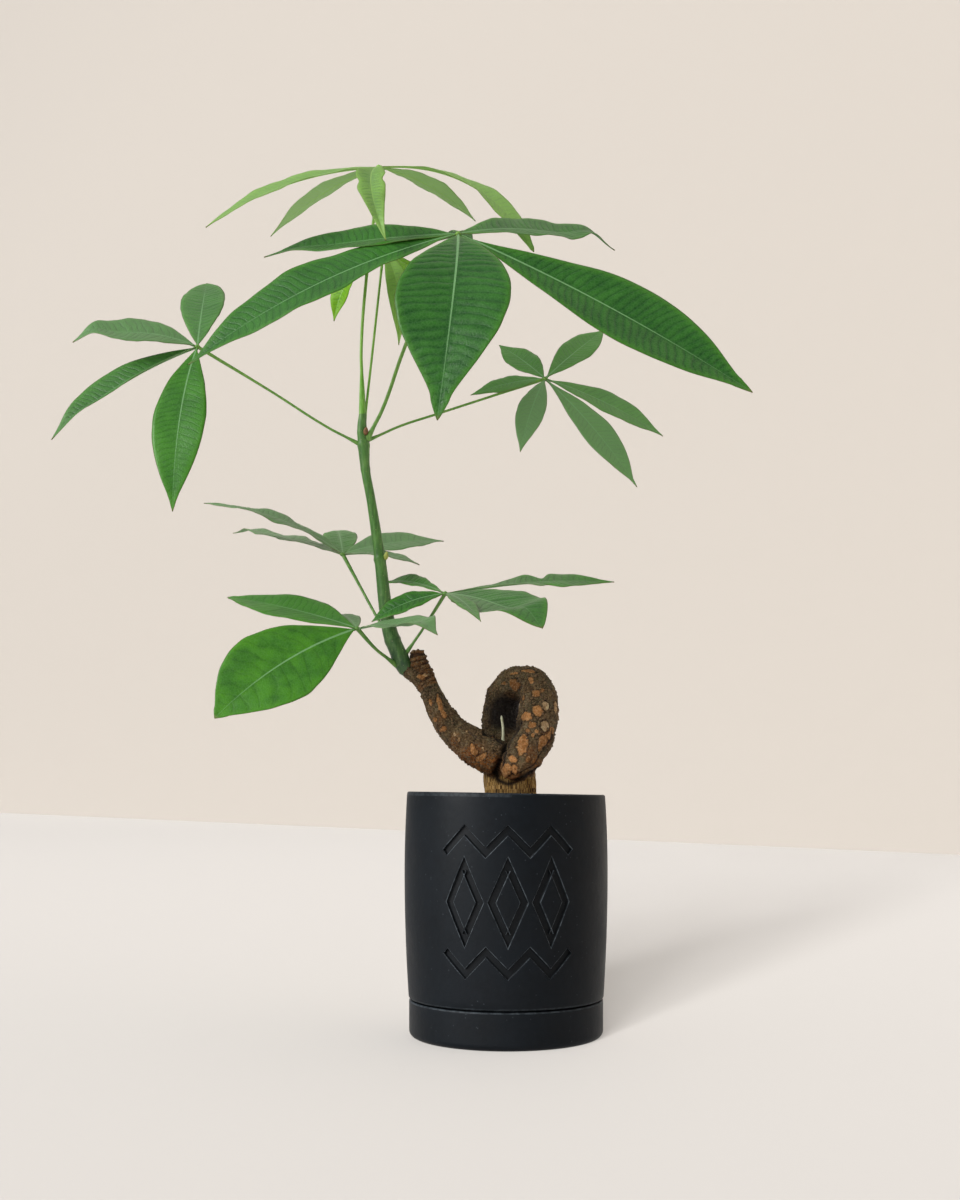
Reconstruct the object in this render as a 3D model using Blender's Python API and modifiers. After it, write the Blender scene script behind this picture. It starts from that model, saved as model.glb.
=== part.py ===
# Potted money tree: a young money tree with a looped trunk, in a round ceramic pot on its saucer.
# Metres, +Z up. The origin is the middle of the saucer's underside, and the front of the plant faces -Y.

import math

import bmesh
import bpy
from mathutils import Matrix, Vector, noise

MM = 0.001
GAP = 0.3 * MM  # between pieces that touch

# Pot: a slightly barrel-shaped wall whose narrower foot stands in the saucer
POT_TOP = 148 * MM
BELLY_HEIGHT = 100 * MM
BELLY_RADIUS = 62.4 * MM
TAPER_UP = 0.70 / 1000  # the wall draws in by this share of the height from the belly, squared, in mm
TAPER_DOWN = 0.44 / 1000
WALL = 5.5 * MM
RIM_ROUND = 1.2 * MM
FLOOR_BOTTOM = 5.3 * MM
FLOOR_TOP = 12 * MM
FOOT_RADIUS = 54 * MM
FOOT_ROUND = 2.4 * MM
DRAIN_RADIUS = 7 * MM
FLOOR_CORNER = 4 * MM
FLARE = 9 * MM  # height over which the inside widens from the foot to the wall
WALL_BANDS = 5
ROUND_STEPS = 40

# Saucer
SAUCER_RADIUS = 59.6 * MM
SAUCER_TOP = 22.7 * MM
SAUCER_FLOOR = 5 * MM
SAUCER_WALL = 4.8 * MM
SAUCER_CORNER = 4 * MM
SAUCER_FILLET = 2 * MM
SAUCER_LIP = 1 * MM
SEAM = 0.9 * MM  # the groove between the saucer's lip and the pot's wall

# Engraved band on the front of the pot: lozenges between two zigzag lines
GROOVE_WIDTH = 4.2 * MM
GROOVE_DEPTH = 1.8 * MM
GROOVE_STEP = 8 * MM  # a long stretch of a groove follows the wall in steps of this length
BAND_MIDDLE = 86 * MM
LOZENGE_WIDTH = 19 * MM
LOZENGE_HEIGHT = 42 * MM
LOZENGE_PITCH = 26 * MM
ZIGZAG_OFFSET = 35 * MM
ZIGZAG_RISE = 13 * MM
ZIGZAG_TEETH = 3

# Soil
SOIL_TOP = 136 * MM
SOIL_MOUND = 3 * MM
SOIL_ROUGHNESS = 1.2 * MM
SOIL_CLEARANCE = 0.7 * MM
SOIL_LUMPS = 9 * MM
SOIL_RINGS = 5

# Trunk: places along the middle of the wood in mm, each with the wood's radius there
LOOP = [
    ((2.5, 0, 92), 11),
    ((2.5, 0, 118), 15),
    ((2.8, 0, 140), 16.3),
    ((2.5, 0, 156), 16),
    ((0.5, 6, 174), 13.5),
    ((-2.8, 13, 194), 11.8),
    ((0, 10, 211), 10.4),
    ((11, 0, 217.5), 9.8),
    ((19, -9, 210), 11),
    ((19.5, -14, 198), 12),
    ((16.5, -19, 184), 12.2),
    ((11, -24, 173), 12),
    ((6.5, -27.5, 166), 11),
    ((3.5, -28.5, 160), 8.5),
    ((2, -28.5, 156.5), 4),
]
ARM = [
    ((6, -11, 171), 9),
    ((-7, -11, 171), 11.5),
    ((-21, -9, 178), 10.8),
    ((-35.5, -5, 191), 8.3),
    ((-45, -2, 208), 6.6),
    ((-51.5, 0, 222), 7),
    ((-55, 0, 231), 8.2),
    ((-56, 0, 235), 7.7),
]
COLLAR = [((-49, 0, 216), 6), ((-55, 0, 218.5), 6.8), ((-60, 0, 221.8), 6.2)]
WOOD_VOXEL = 2.8 * MM
WOOD_FACES_KEPT = 0.28
WOOD_KNOBS = 0.9 * MM
KNOB_SPACING = 11 * MM
PLAIN_BELOW = 144 * MM  # the wood has no knobs under this height, where it stands in the soil
HOLE_CLEARANCE = 1 * MM
SHOOT_CLEARANCE = 0.4 * MM
SHOOT_SEAT_LENGTH = 40 * MM
SPROUT_SEAT_RADIUS = 1.3 * MM

# Green shoot: places along its middle in mm, each with its radius there
SHOOT = [
    ((-60, 0, 222), 5.2),
    ((-66.5, 0, 235), 5.1),
    ((-70.5, 0, 245), 4.8),
    ((-73, 0, 256), 4.3),
    ((-77.7, 1, 293), 3.5),
    ((-83.3, 2, 330), 2.8),
    ((-86.8, 3, 349), 2.8),
    ((-88, 4, 364), 3.7),
    ((-89, 4, 376), 2.9),
    ((-88, 4, 386), 2.3),
]
BUDS = [((-74.6, -1.5, 299), 2.2, 4.4), ((-86.6, 1.2, 372), 1.9, 3.6)]

# Dry sprout in the loop, standing on the arm
SPROUT_FOOT = (-2, -9, 180.5)
SPROUT_TOP = (-3, -9.5, 196)
SPROUT_RADIUS = 0.9
SPROUT_BEND = 0.5

# Leaves. A leaf has its seat on the shoot (height and direction round it), the petiole's bends, its hub, and
# its leaflets. A leaflet has its tip, width, lift (how far it arches above its chord), tilt (degrees that its
# upper face turns to the front), fold (how far its sides rise, as a share of the half width), and, where it
# needs them, twist (degrees more of tilt towards the tip) and sway (how far it bows to the right).
BLADE_THICKNESS = 0.8 * MM
BLADE_STEPS = 7
WIDE_BLADE = 30  # mm; a wider leaflet has one more row of faces on each side of its midrib
WIDEST_PLACE = 1.12  # power of the share along the blade; above 1 the widest place is past the middle
FULLNESS = 0.9  # power of the blade's outline; smaller is fuller
STALK_HALF_WIDTH = 0.9
TIP_HALF_WIDTH = 0.5
ROOT_OFFSET = 1.5
KNOB_RADIUS = 3.2
SEAT_GAP = 0.45  # mm between the shoot and a petiole's end
FOOT_SPREAD = 1.6  # mm that a petiole's foot stands out from the shoot before it bends up
BEND_OUT = 4
BEND_UP = 5
LEAVES = {
    "leaf_top": dict(
        seat=(386, None),
        bends=[(-89.5, 4, 422), (-86.5, 6, 468), (-81, 8, 515)],
        hub=(-79, 8, 538),
        petiole_radius=1.3,
        leaflets=[
            dict(tip=(-181, -20, 489), width=20, lift=8, tilt=36, fold=0.25),
            dict(tip=(-154, 60, 516), width=18, lift=6, tilt=4, fold=0.25),
            dict(tip=(-70, -58, 466), width=19, lift=10, tilt=5, fold=0.5),
            dict(tip=(-19, 60, 526), width=19, lift=6, tilt=0, fold=0.2),
            dict(tip=(18, 20, 491), width=22, lift=18, tilt=10, fold=0.2),
        ],
    ),
    "leaf_second": dict(
        seat=(377, 50),
        bends=[(-83, 8, 424), (-79, 22, 478)],
        hub=(-78, 36, 503),
        petiole_radius=1.2,
        leaflets=[
            dict(tip=(-111, 48, 456), width=20, lift=8, tilt=20, fold=0.3),
            dict(tip=(-67, 16, 433), width=24, lift=10, tilt=20, fold=0.3),
            dict(tip=(-121, 92, 486), width=22, lift=12, tilt=0, fold=0.2),
            dict(tip=(-62, 112, 490), width=24, lift=12, tilt=0, fold=0.2),
            dict(tip=(-35, 66, 478), width=22, lift=12, tilt=10, fold=0.2),
        ],
    ),
    "leaf_main": dict(
        seat=(367, -15),
        bends=[(-76, -3, 384), (-63, -8, 418), (-46, -18, 455)],
        hub=(-29, -30, 481),
        petiole_radius=1.6,
        leaflets=[
            dict(tip=(-39, -105, 350), width=60, lift=22, tilt=30, fold=0.12, sway=6),
            dict(tip=(142, -50, 381), width=47, lift=4, tilt=60, fold=0.1),
            dict(tip=(-182, -60, 400), width=48, lift=9, tilt=42, fold=0.12),
            dict(tip=(-149, 0, 479), width=42, lift=8, tilt=48, fold=0.15),
            dict(tip=(71, 40, 499), width=36, lift=9, tilt=42, fold=0.15),
            dict(tip=(-8, 76, 494), width=36, lift=12, tilt=10, fold=0.15),
        ],
    ),
    "leaf_left": dict(
        seat=(365, 185),
        bends=[(-109, 2, 374), (-145, -2, 400)],
        hub=(-187, -10, 418),
        petiole_radius=1.3,
        leaflets=[
            dict(tip=(-195, 55, 483), width=28, lift=3, tilt=60, fold=0.12),
            dict(tip=(-261, -20, 420), width=31, lift=7, tilt=36, fold=0.15),
            dict(tip=(-266, -45, 355), width=32, lift=5, tilt=36, fold=0.15),
            dict(tip=(-192, -60, 310), width=34, lift=8, tilt=40, fold=0.12, sway=-1),
        ],
    ),
    "leaf_right": dict(
        seat=(367, 40),
        bends=[(-66, 12, 377), (-44, 20, 384), (-10, 32, 399)],
        hub=(26, 40, 416),
        petiole_radius=1.3,
        leaflets=[
            dict(tip=(-3, 78, 450), width=20, lift=1, tilt=60, fold=0.1),
            dict(tip=(69, 88, 464), width=21, lift=1, tilt=60, fold=0.1),
            dict(tip=(-22, 35, 404), width=15, lift=2, tilt=50, fold=0.1),
            dict(tip=(9, 8, 361), width=18, lift=3, tilt=60, fold=0.12),
            dict(tip=(82, 12, 340), width=21, lift=3, tilt=55, fold=0.12),
            dict(tip=(102, 40, 379), width=20, lift=3, tilt=52, fold=0.12),
        ],
    ),
    "leaf_low_back": dict(
        seat=(238, 95),
        bends=[(-80, 14, 258), (-91, 26, 278)],
        hub=(-104, 35, 302),
        petiole_radius=1.3,
        leaflets=[
            dict(tip=(-197, 55, 339), width=34, lift=5, tilt=27, fold=0.15),
            dict(tip=(-185, 95, 328), width=30, lift=6, tilt=20, fold=0.15),
            dict(tip=(-115, 108, 331), width=26, lift=3, tilt=30, fold=0.12),
            dict(tip=(-40, 60, 315), width=34, lift=2, tilt=31, fold=0.12),
            dict(tip=(-54, 15, 292), width=26, lift=4, tilt=25, fold=0.15),
        ],
    ),
    "leaf_low_left": dict(
        seat=(229, 200),
        bends=[(-79, -10, 240)],
        hub=(-90, -18, 248),
        petiole_radius=1.4,
        leaflets=[
            dict(tip=(-176, 25, 273), width=38, lift=1, tilt=28, fold=0.12),
            dict(tip=(-166, -70, 191), width=54, lift=6, tilt=60, fold=0.1),
            dict(tip=(-112, 46, 264), width=26, lift=5, tilt=15, fold=0.12),
            dict(tip=(-40, -72, 238), width=33, lift=3, tilt=24, fold=0.15),
        ],
    ),
    "leaf_low_right": dict(
        seat=(239, 0),
        bends=[(-50, -8, 252)],
        hub=(-40, -15, 267),
        petiole_radius=1.4,
        leaflets=[
            dict(tip=(-72, 28, 285), width=22, lift=2, tilt=24, fold=0.2),
            dict(tip=(-78, -22, 253), width=22, lift=3, tilt=40, fold=0.15),
            dict(tip=(68, 14, 281), width=32, lift=4, tilt=24, fold=0.12, twist=10),
            dict(tip=(19, -78, 241), width=46, lift=6, tilt=32, fold=0.12),
            dict(tip=(-14, -95, 243), width=40, lift=8, tilt=12, fold=0.12),
        ],
    ),
}

CERAMIC = (0.018, 0.021, 0.025)
LEAF_GREEN = (0.035, 0.13, 0.035)
YOUNG_GREEN = (0.12, 0.30, 0.03)
WOOD_BROWN = (0.09, 0.06, 0.035)
SOIL_BROWN = (0.035, 0.022, 0.014)
STEM_GREEN = (0.05, 0.12, 0.025)
STRAW = (0.55, 0.55, 0.38)


def clear_scene():
    for obj in list(bpy.data.objects):
        bpy.data.objects.remove(obj)


def new_collection(name):
    collection = bpy.data.collections.new(name)
    bpy.context.scene.collection.children.link(collection)
    return collection


def material(name, colour, roughness):
    made = bpy.data.materials.new(name)
    made.use_nodes = True
    shader = made.node_tree.nodes["Principled BSDF"]
    shader.inputs["Base Color"].default_value = (*colour, 1)
    shader.inputs["Roughness"].default_value = roughness
    shader.inputs["Metallic"].default_value = 0
    return made


def place(values):
    """A point given in millimetres."""
    return Vector(values) * MM


def add_object(name, mesh, collection):
    obj = bpy.data.objects.new(name, mesh)
    collection.objects.link(obj)
    return obj


def settle(obj):
    """Turns an object with its modifiers, or a curve, into a plain mesh object of the same name."""
    bpy.context.view_layer.update()
    graph = bpy.context.evaluated_depsgraph_get()
    mesh = bpy.data.meshes.new_from_object(obj.evaluated_get(graph), depsgraph=graph)
    if obj.type == "CURVE":
        body = bmesh.new()
        body.from_mesh(mesh)
        bmesh.ops.remove_doubles(body, verts=body.verts, dist=0.00001)
        body.to_mesh(mesh)
        body.free()
    name, collection, matrix = obj.name, obj.users_collection[0], obj.matrix_world.copy()
    bpy.data.objects.remove(obj)
    made = add_object(name, mesh, collection)
    made.matrix_world = matrix
    return made


def finish(obj, surface):
    obj.data.materials.clear()
    obj.data.materials.append(surface)
    obj.data.shade_smooth()
    obj.data.set_sharp_from_angle(angle=math.radians(35))


def turned(name, profile, collection, steps=ROUND_STEPS, closed=False):
    """A solid of revolution from a profile of (radius, height) that runs down its outer side."""
    body = bmesh.new()
    points = [body.verts.new((radius, 0, height)) for radius, height in profile]
    for first, second in zip(points, points[1:]):
        body.edges.new((first, second))
    if closed:
        body.edges.new((points[-1], points[0]))
    mesh = bpy.data.meshes.new(name)
    body.to_mesh(mesh)
    body.free()
    obj = add_object(name, mesh, collection)
    screw = obj.modifiers.new("Turn", "SCREW")
    screw.steps = screw.render_steps = steps
    screw.use_merge_vertices = True
    screw.merge_threshold = 0.00001
    return settle(obj)


def tube(name, points, collection, sides=1, steps=3, extra=0.0):
    """A smooth tube through places in mm, each with its own radius in mm."""
    curve = bpy.data.curves.new(name, "CURVE")
    curve.dimensions = "3D"
    curve.bevel_depth = MM
    curve.bevel_resolution = sides
    curve.resolution_u = steps
    curve.use_fill_caps = True
    spline = curve.splines.new("BEZIER")
    spline.bezier_points.add(len(points) - 1)
    for knot, (spot, radius) in zip(spline.bezier_points, points):
        knot.co = place(spot)
        knot.handle_left_type = knot.handle_right_type = "AUTO"
        knot.radius = radius + extra / MM
    return settle(add_object(name, curve, collection))


def rod(name, start, end, radius, collection, sides=12):
    """A plain cylinder between two points in metres."""
    along = end - start
    body = bmesh.new()
    bmesh.ops.create_cone(
        body, cap_ends=True, segments=sides, radius1=radius, radius2=radius, depth=along.length
    )
    mesh = bpy.data.meshes.new(name)
    body.to_mesh(mesh)
    body.free()
    mesh.transform(along.to_track_quat("Z", "Y").to_matrix().to_4x4())
    mesh.transform(Matrix.Translation((start + end) / 2))
    return add_object(name, mesh, collection)


def join(obj, others, operation="UNION", solver="EXACT"):
    """Joins other objects to this one, or cuts them from it, and removes them."""
    group = bpy.data.collections.new("tools")
    bpy.context.scene.collection.children.link(group)
    for other in others:
        for owner in list(other.users_collection):
            owner.objects.unlink(other)
        group.objects.link(other)
    boolean = obj.modifiers.new("Join", "BOOLEAN")
    boolean.operation = operation
    boolean.operand_type = "COLLECTION"
    boolean.collection = group
    boolean.solver = solver
    made = settle(obj)
    for other in list(group.objects):
        bpy.data.objects.remove(other)
    bpy.data.collections.remove(group)
    return made


def pot_radius(height):
    """Outer radius of the pot's wall at a height."""
    rise = (height - BELLY_HEIGHT) / MM
    taper = TAPER_UP if rise > 0 else TAPER_DOWN
    return BELLY_RADIUS - taper * rise * rise * MM


def rounded(centre, radius, first, last, steps=4):
    """Points of an arc in a profile, from one angle in degrees to another."""
    return [
        (
            centre[0] + radius * math.cos(math.radians(first + (last - first) * i / steps)),
            centre[1] + radius * math.sin(math.radians(first + (last - first) * i / steps)),
        )
        for i in range(steps + 1)
    ]


def on_wall(along, height, depth):
    """A point of the front wall: along it from the middle, at a height, and at a depth."""
    angle = along / BELLY_RADIUS
    radius = pot_radius(height) - depth
    return (radius * math.sin(angle), -radius * math.cos(angle), height)


def groove(path, closed, collection):
    """The cutter of one engraved line: a band of even width along a path of (along, height) on the wall."""
    corners = [Vector(point) for point in path]
    pairs = list(zip(corners, corners[1:] + corners[:1] if closed else corners[1:]))
    stations = []
    for start, end in pairs:
        parts = max(1, round((end - start).length / GROOVE_STEP))
        stations += [start.lerp(end, i / parts) for i in range(parts)]
    if not closed:
        stations.append(corners[-1])
    count = len(stations)
    body = bmesh.new()
    rings = []
    for i, here in enumerate(stations):
        before = stations[i - 1] if closed or i else None
        after = stations[(i + 1) % count] if closed or i < count - 1 else None
        arrive = (here - before).normalized() if before else (after - here).normalized()
        leave = (after - here).normalized() if after else arrive
        normals = Vector((-arrive.y, arrive.x)), Vector((-leave.y, leave.x))
        mitre = (normals[0] + normals[1]) / (1 + normals[0].dot(normals[1])) * GROOVE_WIDTH / 2
        sides = here + mitre, here - mitre
        rings.append(
            [
                body.verts.new(on_wall(side.x, side.y, depth))
                for side, depth in (
                    (sides[0], GROOVE_DEPTH),
                    (sides[1], GROOVE_DEPTH),
                    (sides[1], -GROOVE_DEPTH),
                    (sides[0], -GROOVE_DEPTH),
                )
            ]
        )
    links = list(zip(rings, rings[1:] + rings[:1] if closed else rings[1:]))
    for ring, following in links:
        for i in range(4):
            j = (i + 1) % 4
            body.faces.new((ring[i], ring[j], following[j], following[i]))
    if not closed:
        body.faces.new(rings[0])
        body.faces.new(rings[-1])
    bmesh.ops.recalc_face_normals(body, faces=body.faces)
    bmesh.ops.triangulate(body, faces=body.faces)
    mesh = bpy.data.meshes.new("groove")
    body.to_mesh(mesh)
    body.free()
    return add_object("groove", mesh, collection)


def band_grooves(collection):
    """Three outlined lozenges side by side, with a zigzag line above and one below."""
    grooves = []
    for middle in (-LOZENGE_PITCH, 0, LOZENGE_PITCH):
        half_width, half_height = LOZENGE_WIDTH / 2, LOZENGE_HEIGHT / 2
        outline = [
            (middle - half_width, BAND_MIDDLE),
            (middle, BAND_MIDDLE - half_height),
            (middle + half_width, BAND_MIDDLE),
            (middle, BAND_MIDDLE + half_height),
        ]
        grooves.append(groove(outline, True, collection))
    tooth = LOZENGE_PITCH / 2
    for side in (-1, 1):
        line = [
            (
                (i - ZIGZAG_TEETH) * tooth,
                BAND_MIDDLE + side * (ZIGZAG_OFFSET + (ZIGZAG_RISE / 2 if i % 2 else -ZIGZAG_RISE / 2)),
            )
            for i in range(2 * ZIGZAG_TEETH + 1)
        ]
        grooves.append(groove(line, False, collection))
    return grooves


def inner_wall(clearance):
    """Profile of the pot's inside, from its floor up to the rim, drawn in by a clearance."""
    shoulder = SAUCER_TOP + SEAM
    throat = FOOT_RADIUS - WALL
    flare = shoulder + FLARE
    rise = (POT_TOP - RIM_ROUND - flare) / 3
    upper = [flare + rise * i for i in range(4)]
    return [
        (throat - FLOOR_CORNER - clearance, FLOOR_TOP),
        (throat - clearance, FLOOR_TOP + FLOOR_CORNER),
        (throat - clearance, shoulder + FOOT_ROUND),
    ] + [(pot_radius(height) - WALL - clearance, height) for height in upper]


def build_pot(parts, tools, surface):
    """The pot: wall, floor with its drain hole, and the foot that stands in the saucer."""
    shoulder = SAUCER_TOP + SEAM
    wall_rise = (POT_TOP - shoulder - 2 * RIM_ROUND) / WALL_BANDS
    wall_heights = [shoulder + RIM_ROUND + wall_rise * i for i in range(WALL_BANDS + 1)]
    outer = [(pot_radius(height), height) for height in reversed(wall_heights)]
    rim_centre_out = (pot_radius(POT_TOP) - RIM_ROUND, POT_TOP - RIM_ROUND)
    rim_centre_in = (pot_radius(POT_TOP) - WALL + RIM_ROUND, POT_TOP - RIM_ROUND)
    profile = (
        rounded(rim_centre_in, RIM_ROUND, 135, 90, 1)
        + rounded(rim_centre_out, RIM_ROUND, 90, 45, 1)
        + outer
        + [(pot_radius(shoulder) - RIM_ROUND, shoulder), (FOOT_RADIUS, shoulder)]
        + [(FOOT_RADIUS, FLOOR_BOTTOM + FOOT_ROUND), (FOOT_RADIUS - FOOT_ROUND, FLOOR_BOTTOM)]
        + [(DRAIN_RADIUS, FLOOR_BOTTOM), (DRAIN_RADIUS, FLOOR_TOP)]
        + inner_wall(0)
    )
    pot = turned("pot", profile, parts, closed=True)
    pot = join(pot, band_grooves(tools), "DIFFERENCE", "MANIFOLD")
    finish(pot, surface)


def build_saucer(parts, surface):
    """The saucer: a dish as wide as the pot's wall, with rounded lower corner."""
    inside = SAUCER_RADIUS - SAUCER_WALL
    corner = (SAUCER_RADIUS - SAUCER_CORNER, SAUCER_CORNER)
    profile = [
        (0, SAUCER_FLOOR),
        (inside - SAUCER_FILLET, SAUCER_FLOOR),
        (inside, SAUCER_FLOOR + SAUCER_FILLET),
        (inside, SAUCER_TOP - SAUCER_LIP),
        (inside + SAUCER_LIP, SAUCER_TOP),
        (SAUCER_RADIUS - SAUCER_LIP, SAUCER_TOP),
        (SAUCER_RADIUS, SAUCER_TOP - SAUCER_LIP),
    ] + rounded(corner, SAUCER_CORNER, 0, -90, 3)
    profile.append((0, 0))
    finish(turned("saucer", profile, parts), surface)


def build_soil(parts, tools, surface):
    """The soil: it fills the pot, heaped a little round the trunk, with a plain hole for the trunk."""
    wall = [(radius, height) for radius, height in inner_wall(SOIL_CLEARANCE) if height < SOIL_TOP]
    edge = pot_radius(SOIL_TOP) - WALL - SOIL_CLEARANCE
    top = []
    for i in range(SOIL_RINGS + 1):
        share = i / SOIL_RINGS
        top.append((edge * share, SOIL_TOP + SOIL_MOUND * math.cos(math.pi / 2 * share)))
    bottom = FLOOR_TOP + GAP
    side = list(reversed(wall[1:])) + [(wall[0][0], bottom), (0, bottom)]
    soil = turned("soil", top + side, parts, steps=24)
    for vertex in soil.data.vertices:
        if vertex.co.z > SOIL_TOP - MM and vertex.co.xy.length < edge - MM:
            vertex.co.z += SOIL_ROUGHNESS * noise.noise(vertex.co / SOIL_LUMPS)
    (root_x, root_y, root_z), root_radius = LOOP[0]
    hole_points = [((root_x, root_y, root_z - HOLE_CLEARANCE / MM), root_radius)] + LOOP[1:4]
    hole = tube("hole", hole_points, tools, sides=6, steps=4, extra=HOLE_CLEARANCE)
    soil = join(soil, [hole], "DIFFERENCE")
    finish(soil, surface)


def build_trunk(parts, tools, surface):
    """The trunk: root end, loop and arm grown together, with seats for the shoot and the sprout."""
    wood = tube("trunk", LOOP, parts, sides=6, steps=6)
    body = bmesh.new()
    body.from_mesh(wood.data)
    for limb_points in (ARM, COLLAR):
        limb = tube("limb", limb_points, parts, sides=6, steps=6)
        body.from_mesh(limb.data)
        bpy.data.objects.remove(limb)
    body.to_mesh(wood.data)
    body.free()
    remesh = wood.modifiers.new("Grow together", "REMESH")
    remesh.mode = "VOXEL"
    remesh.voxel_size = WOOD_VOXEL
    thin = wood.modifiers.new("Fewer faces", "DECIMATE")
    thin.ratio = WOOD_FACES_KEPT
    wood = settle(wood)
    normals = [vertex.normal.copy() for vertex in wood.data.vertices]
    for vertex, normal in zip(wood.data.vertices, normals):
        if vertex.co.z > PLAIN_BELOW:
            vertex.co += normal * WOOD_KNOBS * noise.noise(vertex.co / KNOB_SPACING)
    shoot_start, shoot_next = place(SHOOT[0][0]), place(SHOOT[1][0])
    along = (shoot_next - shoot_start).normalized()
    seat_radius = SHOOT[0][1] * MM + SHOOT_CLEARANCE
    seat_end = shoot_start + along * SHOOT_SEAT_LENGTH
    sprout_foot = place(SPROUT_FOOT) - Vector((0, 0, GAP))
    seats = [
        rod("shoot seat", shoot_start - along * GAP, seat_end, seat_radius, tools, 24),
        rod("sprout seat", sprout_foot, place(SPROUT_TOP), SPROUT_SEAT_RADIUS, tools),
    ]
    wood = join(wood, seats, "DIFFERENCE")
    finish(wood, surface)


def build_shoot(parts, tools, surface):
    """The green stem with its swollen nodes and two buds."""
    stem = tube("green_stem", SHOOT, parts, sides=3, steps=2)
    buds = []
    for spot, radius, length in BUDS:
        body = bmesh.new()
        bmesh.ops.create_icosphere(body, subdivisions=1, radius=radius * MM)
        for vertex in body.verts:
            vertex.co.z *= length / radius
        mesh = bpy.data.meshes.new("bud")
        body.to_mesh(mesh)
        body.free()
        mesh.transform(Matrix.Translation(place(spot)))
        buds.append(add_object("bud", mesh, tools))
    finish(join(stem, buds), surface)


def build_sprout(parts, surface):
    """The thin dry sprout that stands in the loop."""
    foot, top = Vector(SPROUT_FOOT), Vector(SPROUT_TOP)
    middle = foot.lerp(top, 0.5) + Vector((SPROUT_BEND, 0, 0))
    points = [(foot, SPROUT_RADIUS), (middle, SPROUT_RADIUS), (top, SPROUT_RADIUS * 0.8)]
    finish(tube("dry_sprout", points, parts, sides=1, steps=2), surface)


def on_shoot(height, direction, stand_off):
    """A place in mm just off the shoot's surface, at a height and a direction round it in degrees."""
    for (low, low_radius), (high, high_radius) in zip(SHOOT, SHOOT[1:]):
        if low[2] <= height <= high[2]:
            share = (height - low[2]) / (high[2] - low[2])
            middle = Vector(low).lerp(Vector(high), share)
            radius = low_radius + (high_radius - low_radius) * share
            axis = (Vector(high) - Vector(low)).normalized()
    if direction is None:
        top, below = Vector(SHOOT[-1][0]), Vector(SHOOT[-2][0])
        axis = (top - below).normalized()
        return top + axis * stand_off, Vector((0, 0, 0)), axis
    out = Vector((math.cos(math.radians(direction)), math.sin(math.radians(direction)), 0))
    out = (out - axis * out.dot(axis)).normalized()
    return middle + out * (radius + stand_off), out, axis


def half_width(leaflet, share):
    """Half of the blade's width in mm: narrow at the stalk, widest past the middle, drawn to a point."""
    shape = max(0.0, math.sin(math.pi * share**WIDEST_PLACE)) ** FULLNESS
    least = STALK_HALF_WIDTH + (TIP_HALF_WIDTH - STALK_HALF_WIDTH) * share
    return max(leaflet["width"] / 2 * shape, least)


def blade(leaf_name, index, hub, leaflet, tools):
    """One leaflet: an arched blade of even thickness, with its sides raised along the midrib."""
    hub, tip = Vector(hub), Vector(leaflet["tip"])
    chord = tip - hub
    up = Vector((0, 0, 1)) - chord * (chord.z / chord.length_squared)
    bow = (hub + tip) / 2 + up.normalized() * 2 * leaflet["lift"] + Vector((2 * leaflet.get("sway", 0), 0, 0))
    root = hub + (bow - hub).normalized() * ROOT_OFFSET
    across = 2 if leaflet["width"] > WIDE_BLADE else 1
    body = bmesh.new()
    bmesh.ops.create_grid(body, x_segments=BLADE_STEPS, y_segments=2 * across, size=1)
    for vertex in body.verts:
        share = (vertex.co.x + 1) / 2
        offset = vertex.co.y
        spot = root * (1 - share) ** 2 + bow * 2 * share * (1 - share) + tip * share**2
        tangent = ((bow - root) * (1 - share) + (tip - bow) * share).normalized()
        turn = math.radians(leaflet["tilt"] + leaflet.get("twist", 0) * share)
        facing = Vector((0, -math.sin(turn), math.cos(turn)))
        side = tangent.cross(facing).normalized()
        normal = side.cross(tangent)
        half = half_width(leaflet, share)
        rise = leaflet["fold"] * half * abs(offset)
        vertex.co = (spot + side * half * offset + normal * rise) * MM
    bmesh.ops.triangulate(body, faces=body.faces)
    mesh = bpy.data.meshes.new("blade")
    body.to_mesh(mesh)
    body.free()
    obj = add_object(f"{leaf_name} blade {index}", mesh, tools)
    solidify = obj.modifiers.new("Thickness", "SOLIDIFY")
    solidify.thickness = BLADE_THICKNESS
    solidify.offset = 0
    return settle(obj)


def build_leaf(name, leaf, parts, tools, surface):
    """One palmate leaf: its petiole, the knob where the leaflets meet, and the leaflets, as one body."""
    height, direction = leaf["seat"]
    radius = leaf["petiole_radius"]
    stand_off = SEAT_GAP if direction is None else SEAT_GAP + radius / 2
    start, out, axis = on_shoot(height, direction, stand_off)
    points = [(start, radius * 1.35), (start + out * FOOT_SPREAD + axis, radius * 1.3)]
    points.append((start + out * BEND_OUT + axis * BEND_UP, radius * 1.1))
    points += [(bend, radius) for bend in leaf["bends"]]
    points.append((leaf["hub"], radius * 1.3))
    petiole = tube(name, points, parts, sides=1, steps=3)
    body = bmesh.new()
    bmesh.ops.create_icosphere(body, subdivisions=1, radius=KNOB_RADIUS * MM)
    mesh = bpy.data.meshes.new("knob")
    body.to_mesh(mesh)
    body.free()
    mesh.transform(Matrix.Translation(place(leaf["hub"])))
    pieces = [add_object("knob", mesh, tools)]
    for index, leaflet in enumerate(leaf["leaflets"]):
        pieces.append(blade(name, index, leaf["hub"], leaflet, tools))
    finish(join(petiole, pieces), surface)


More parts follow.
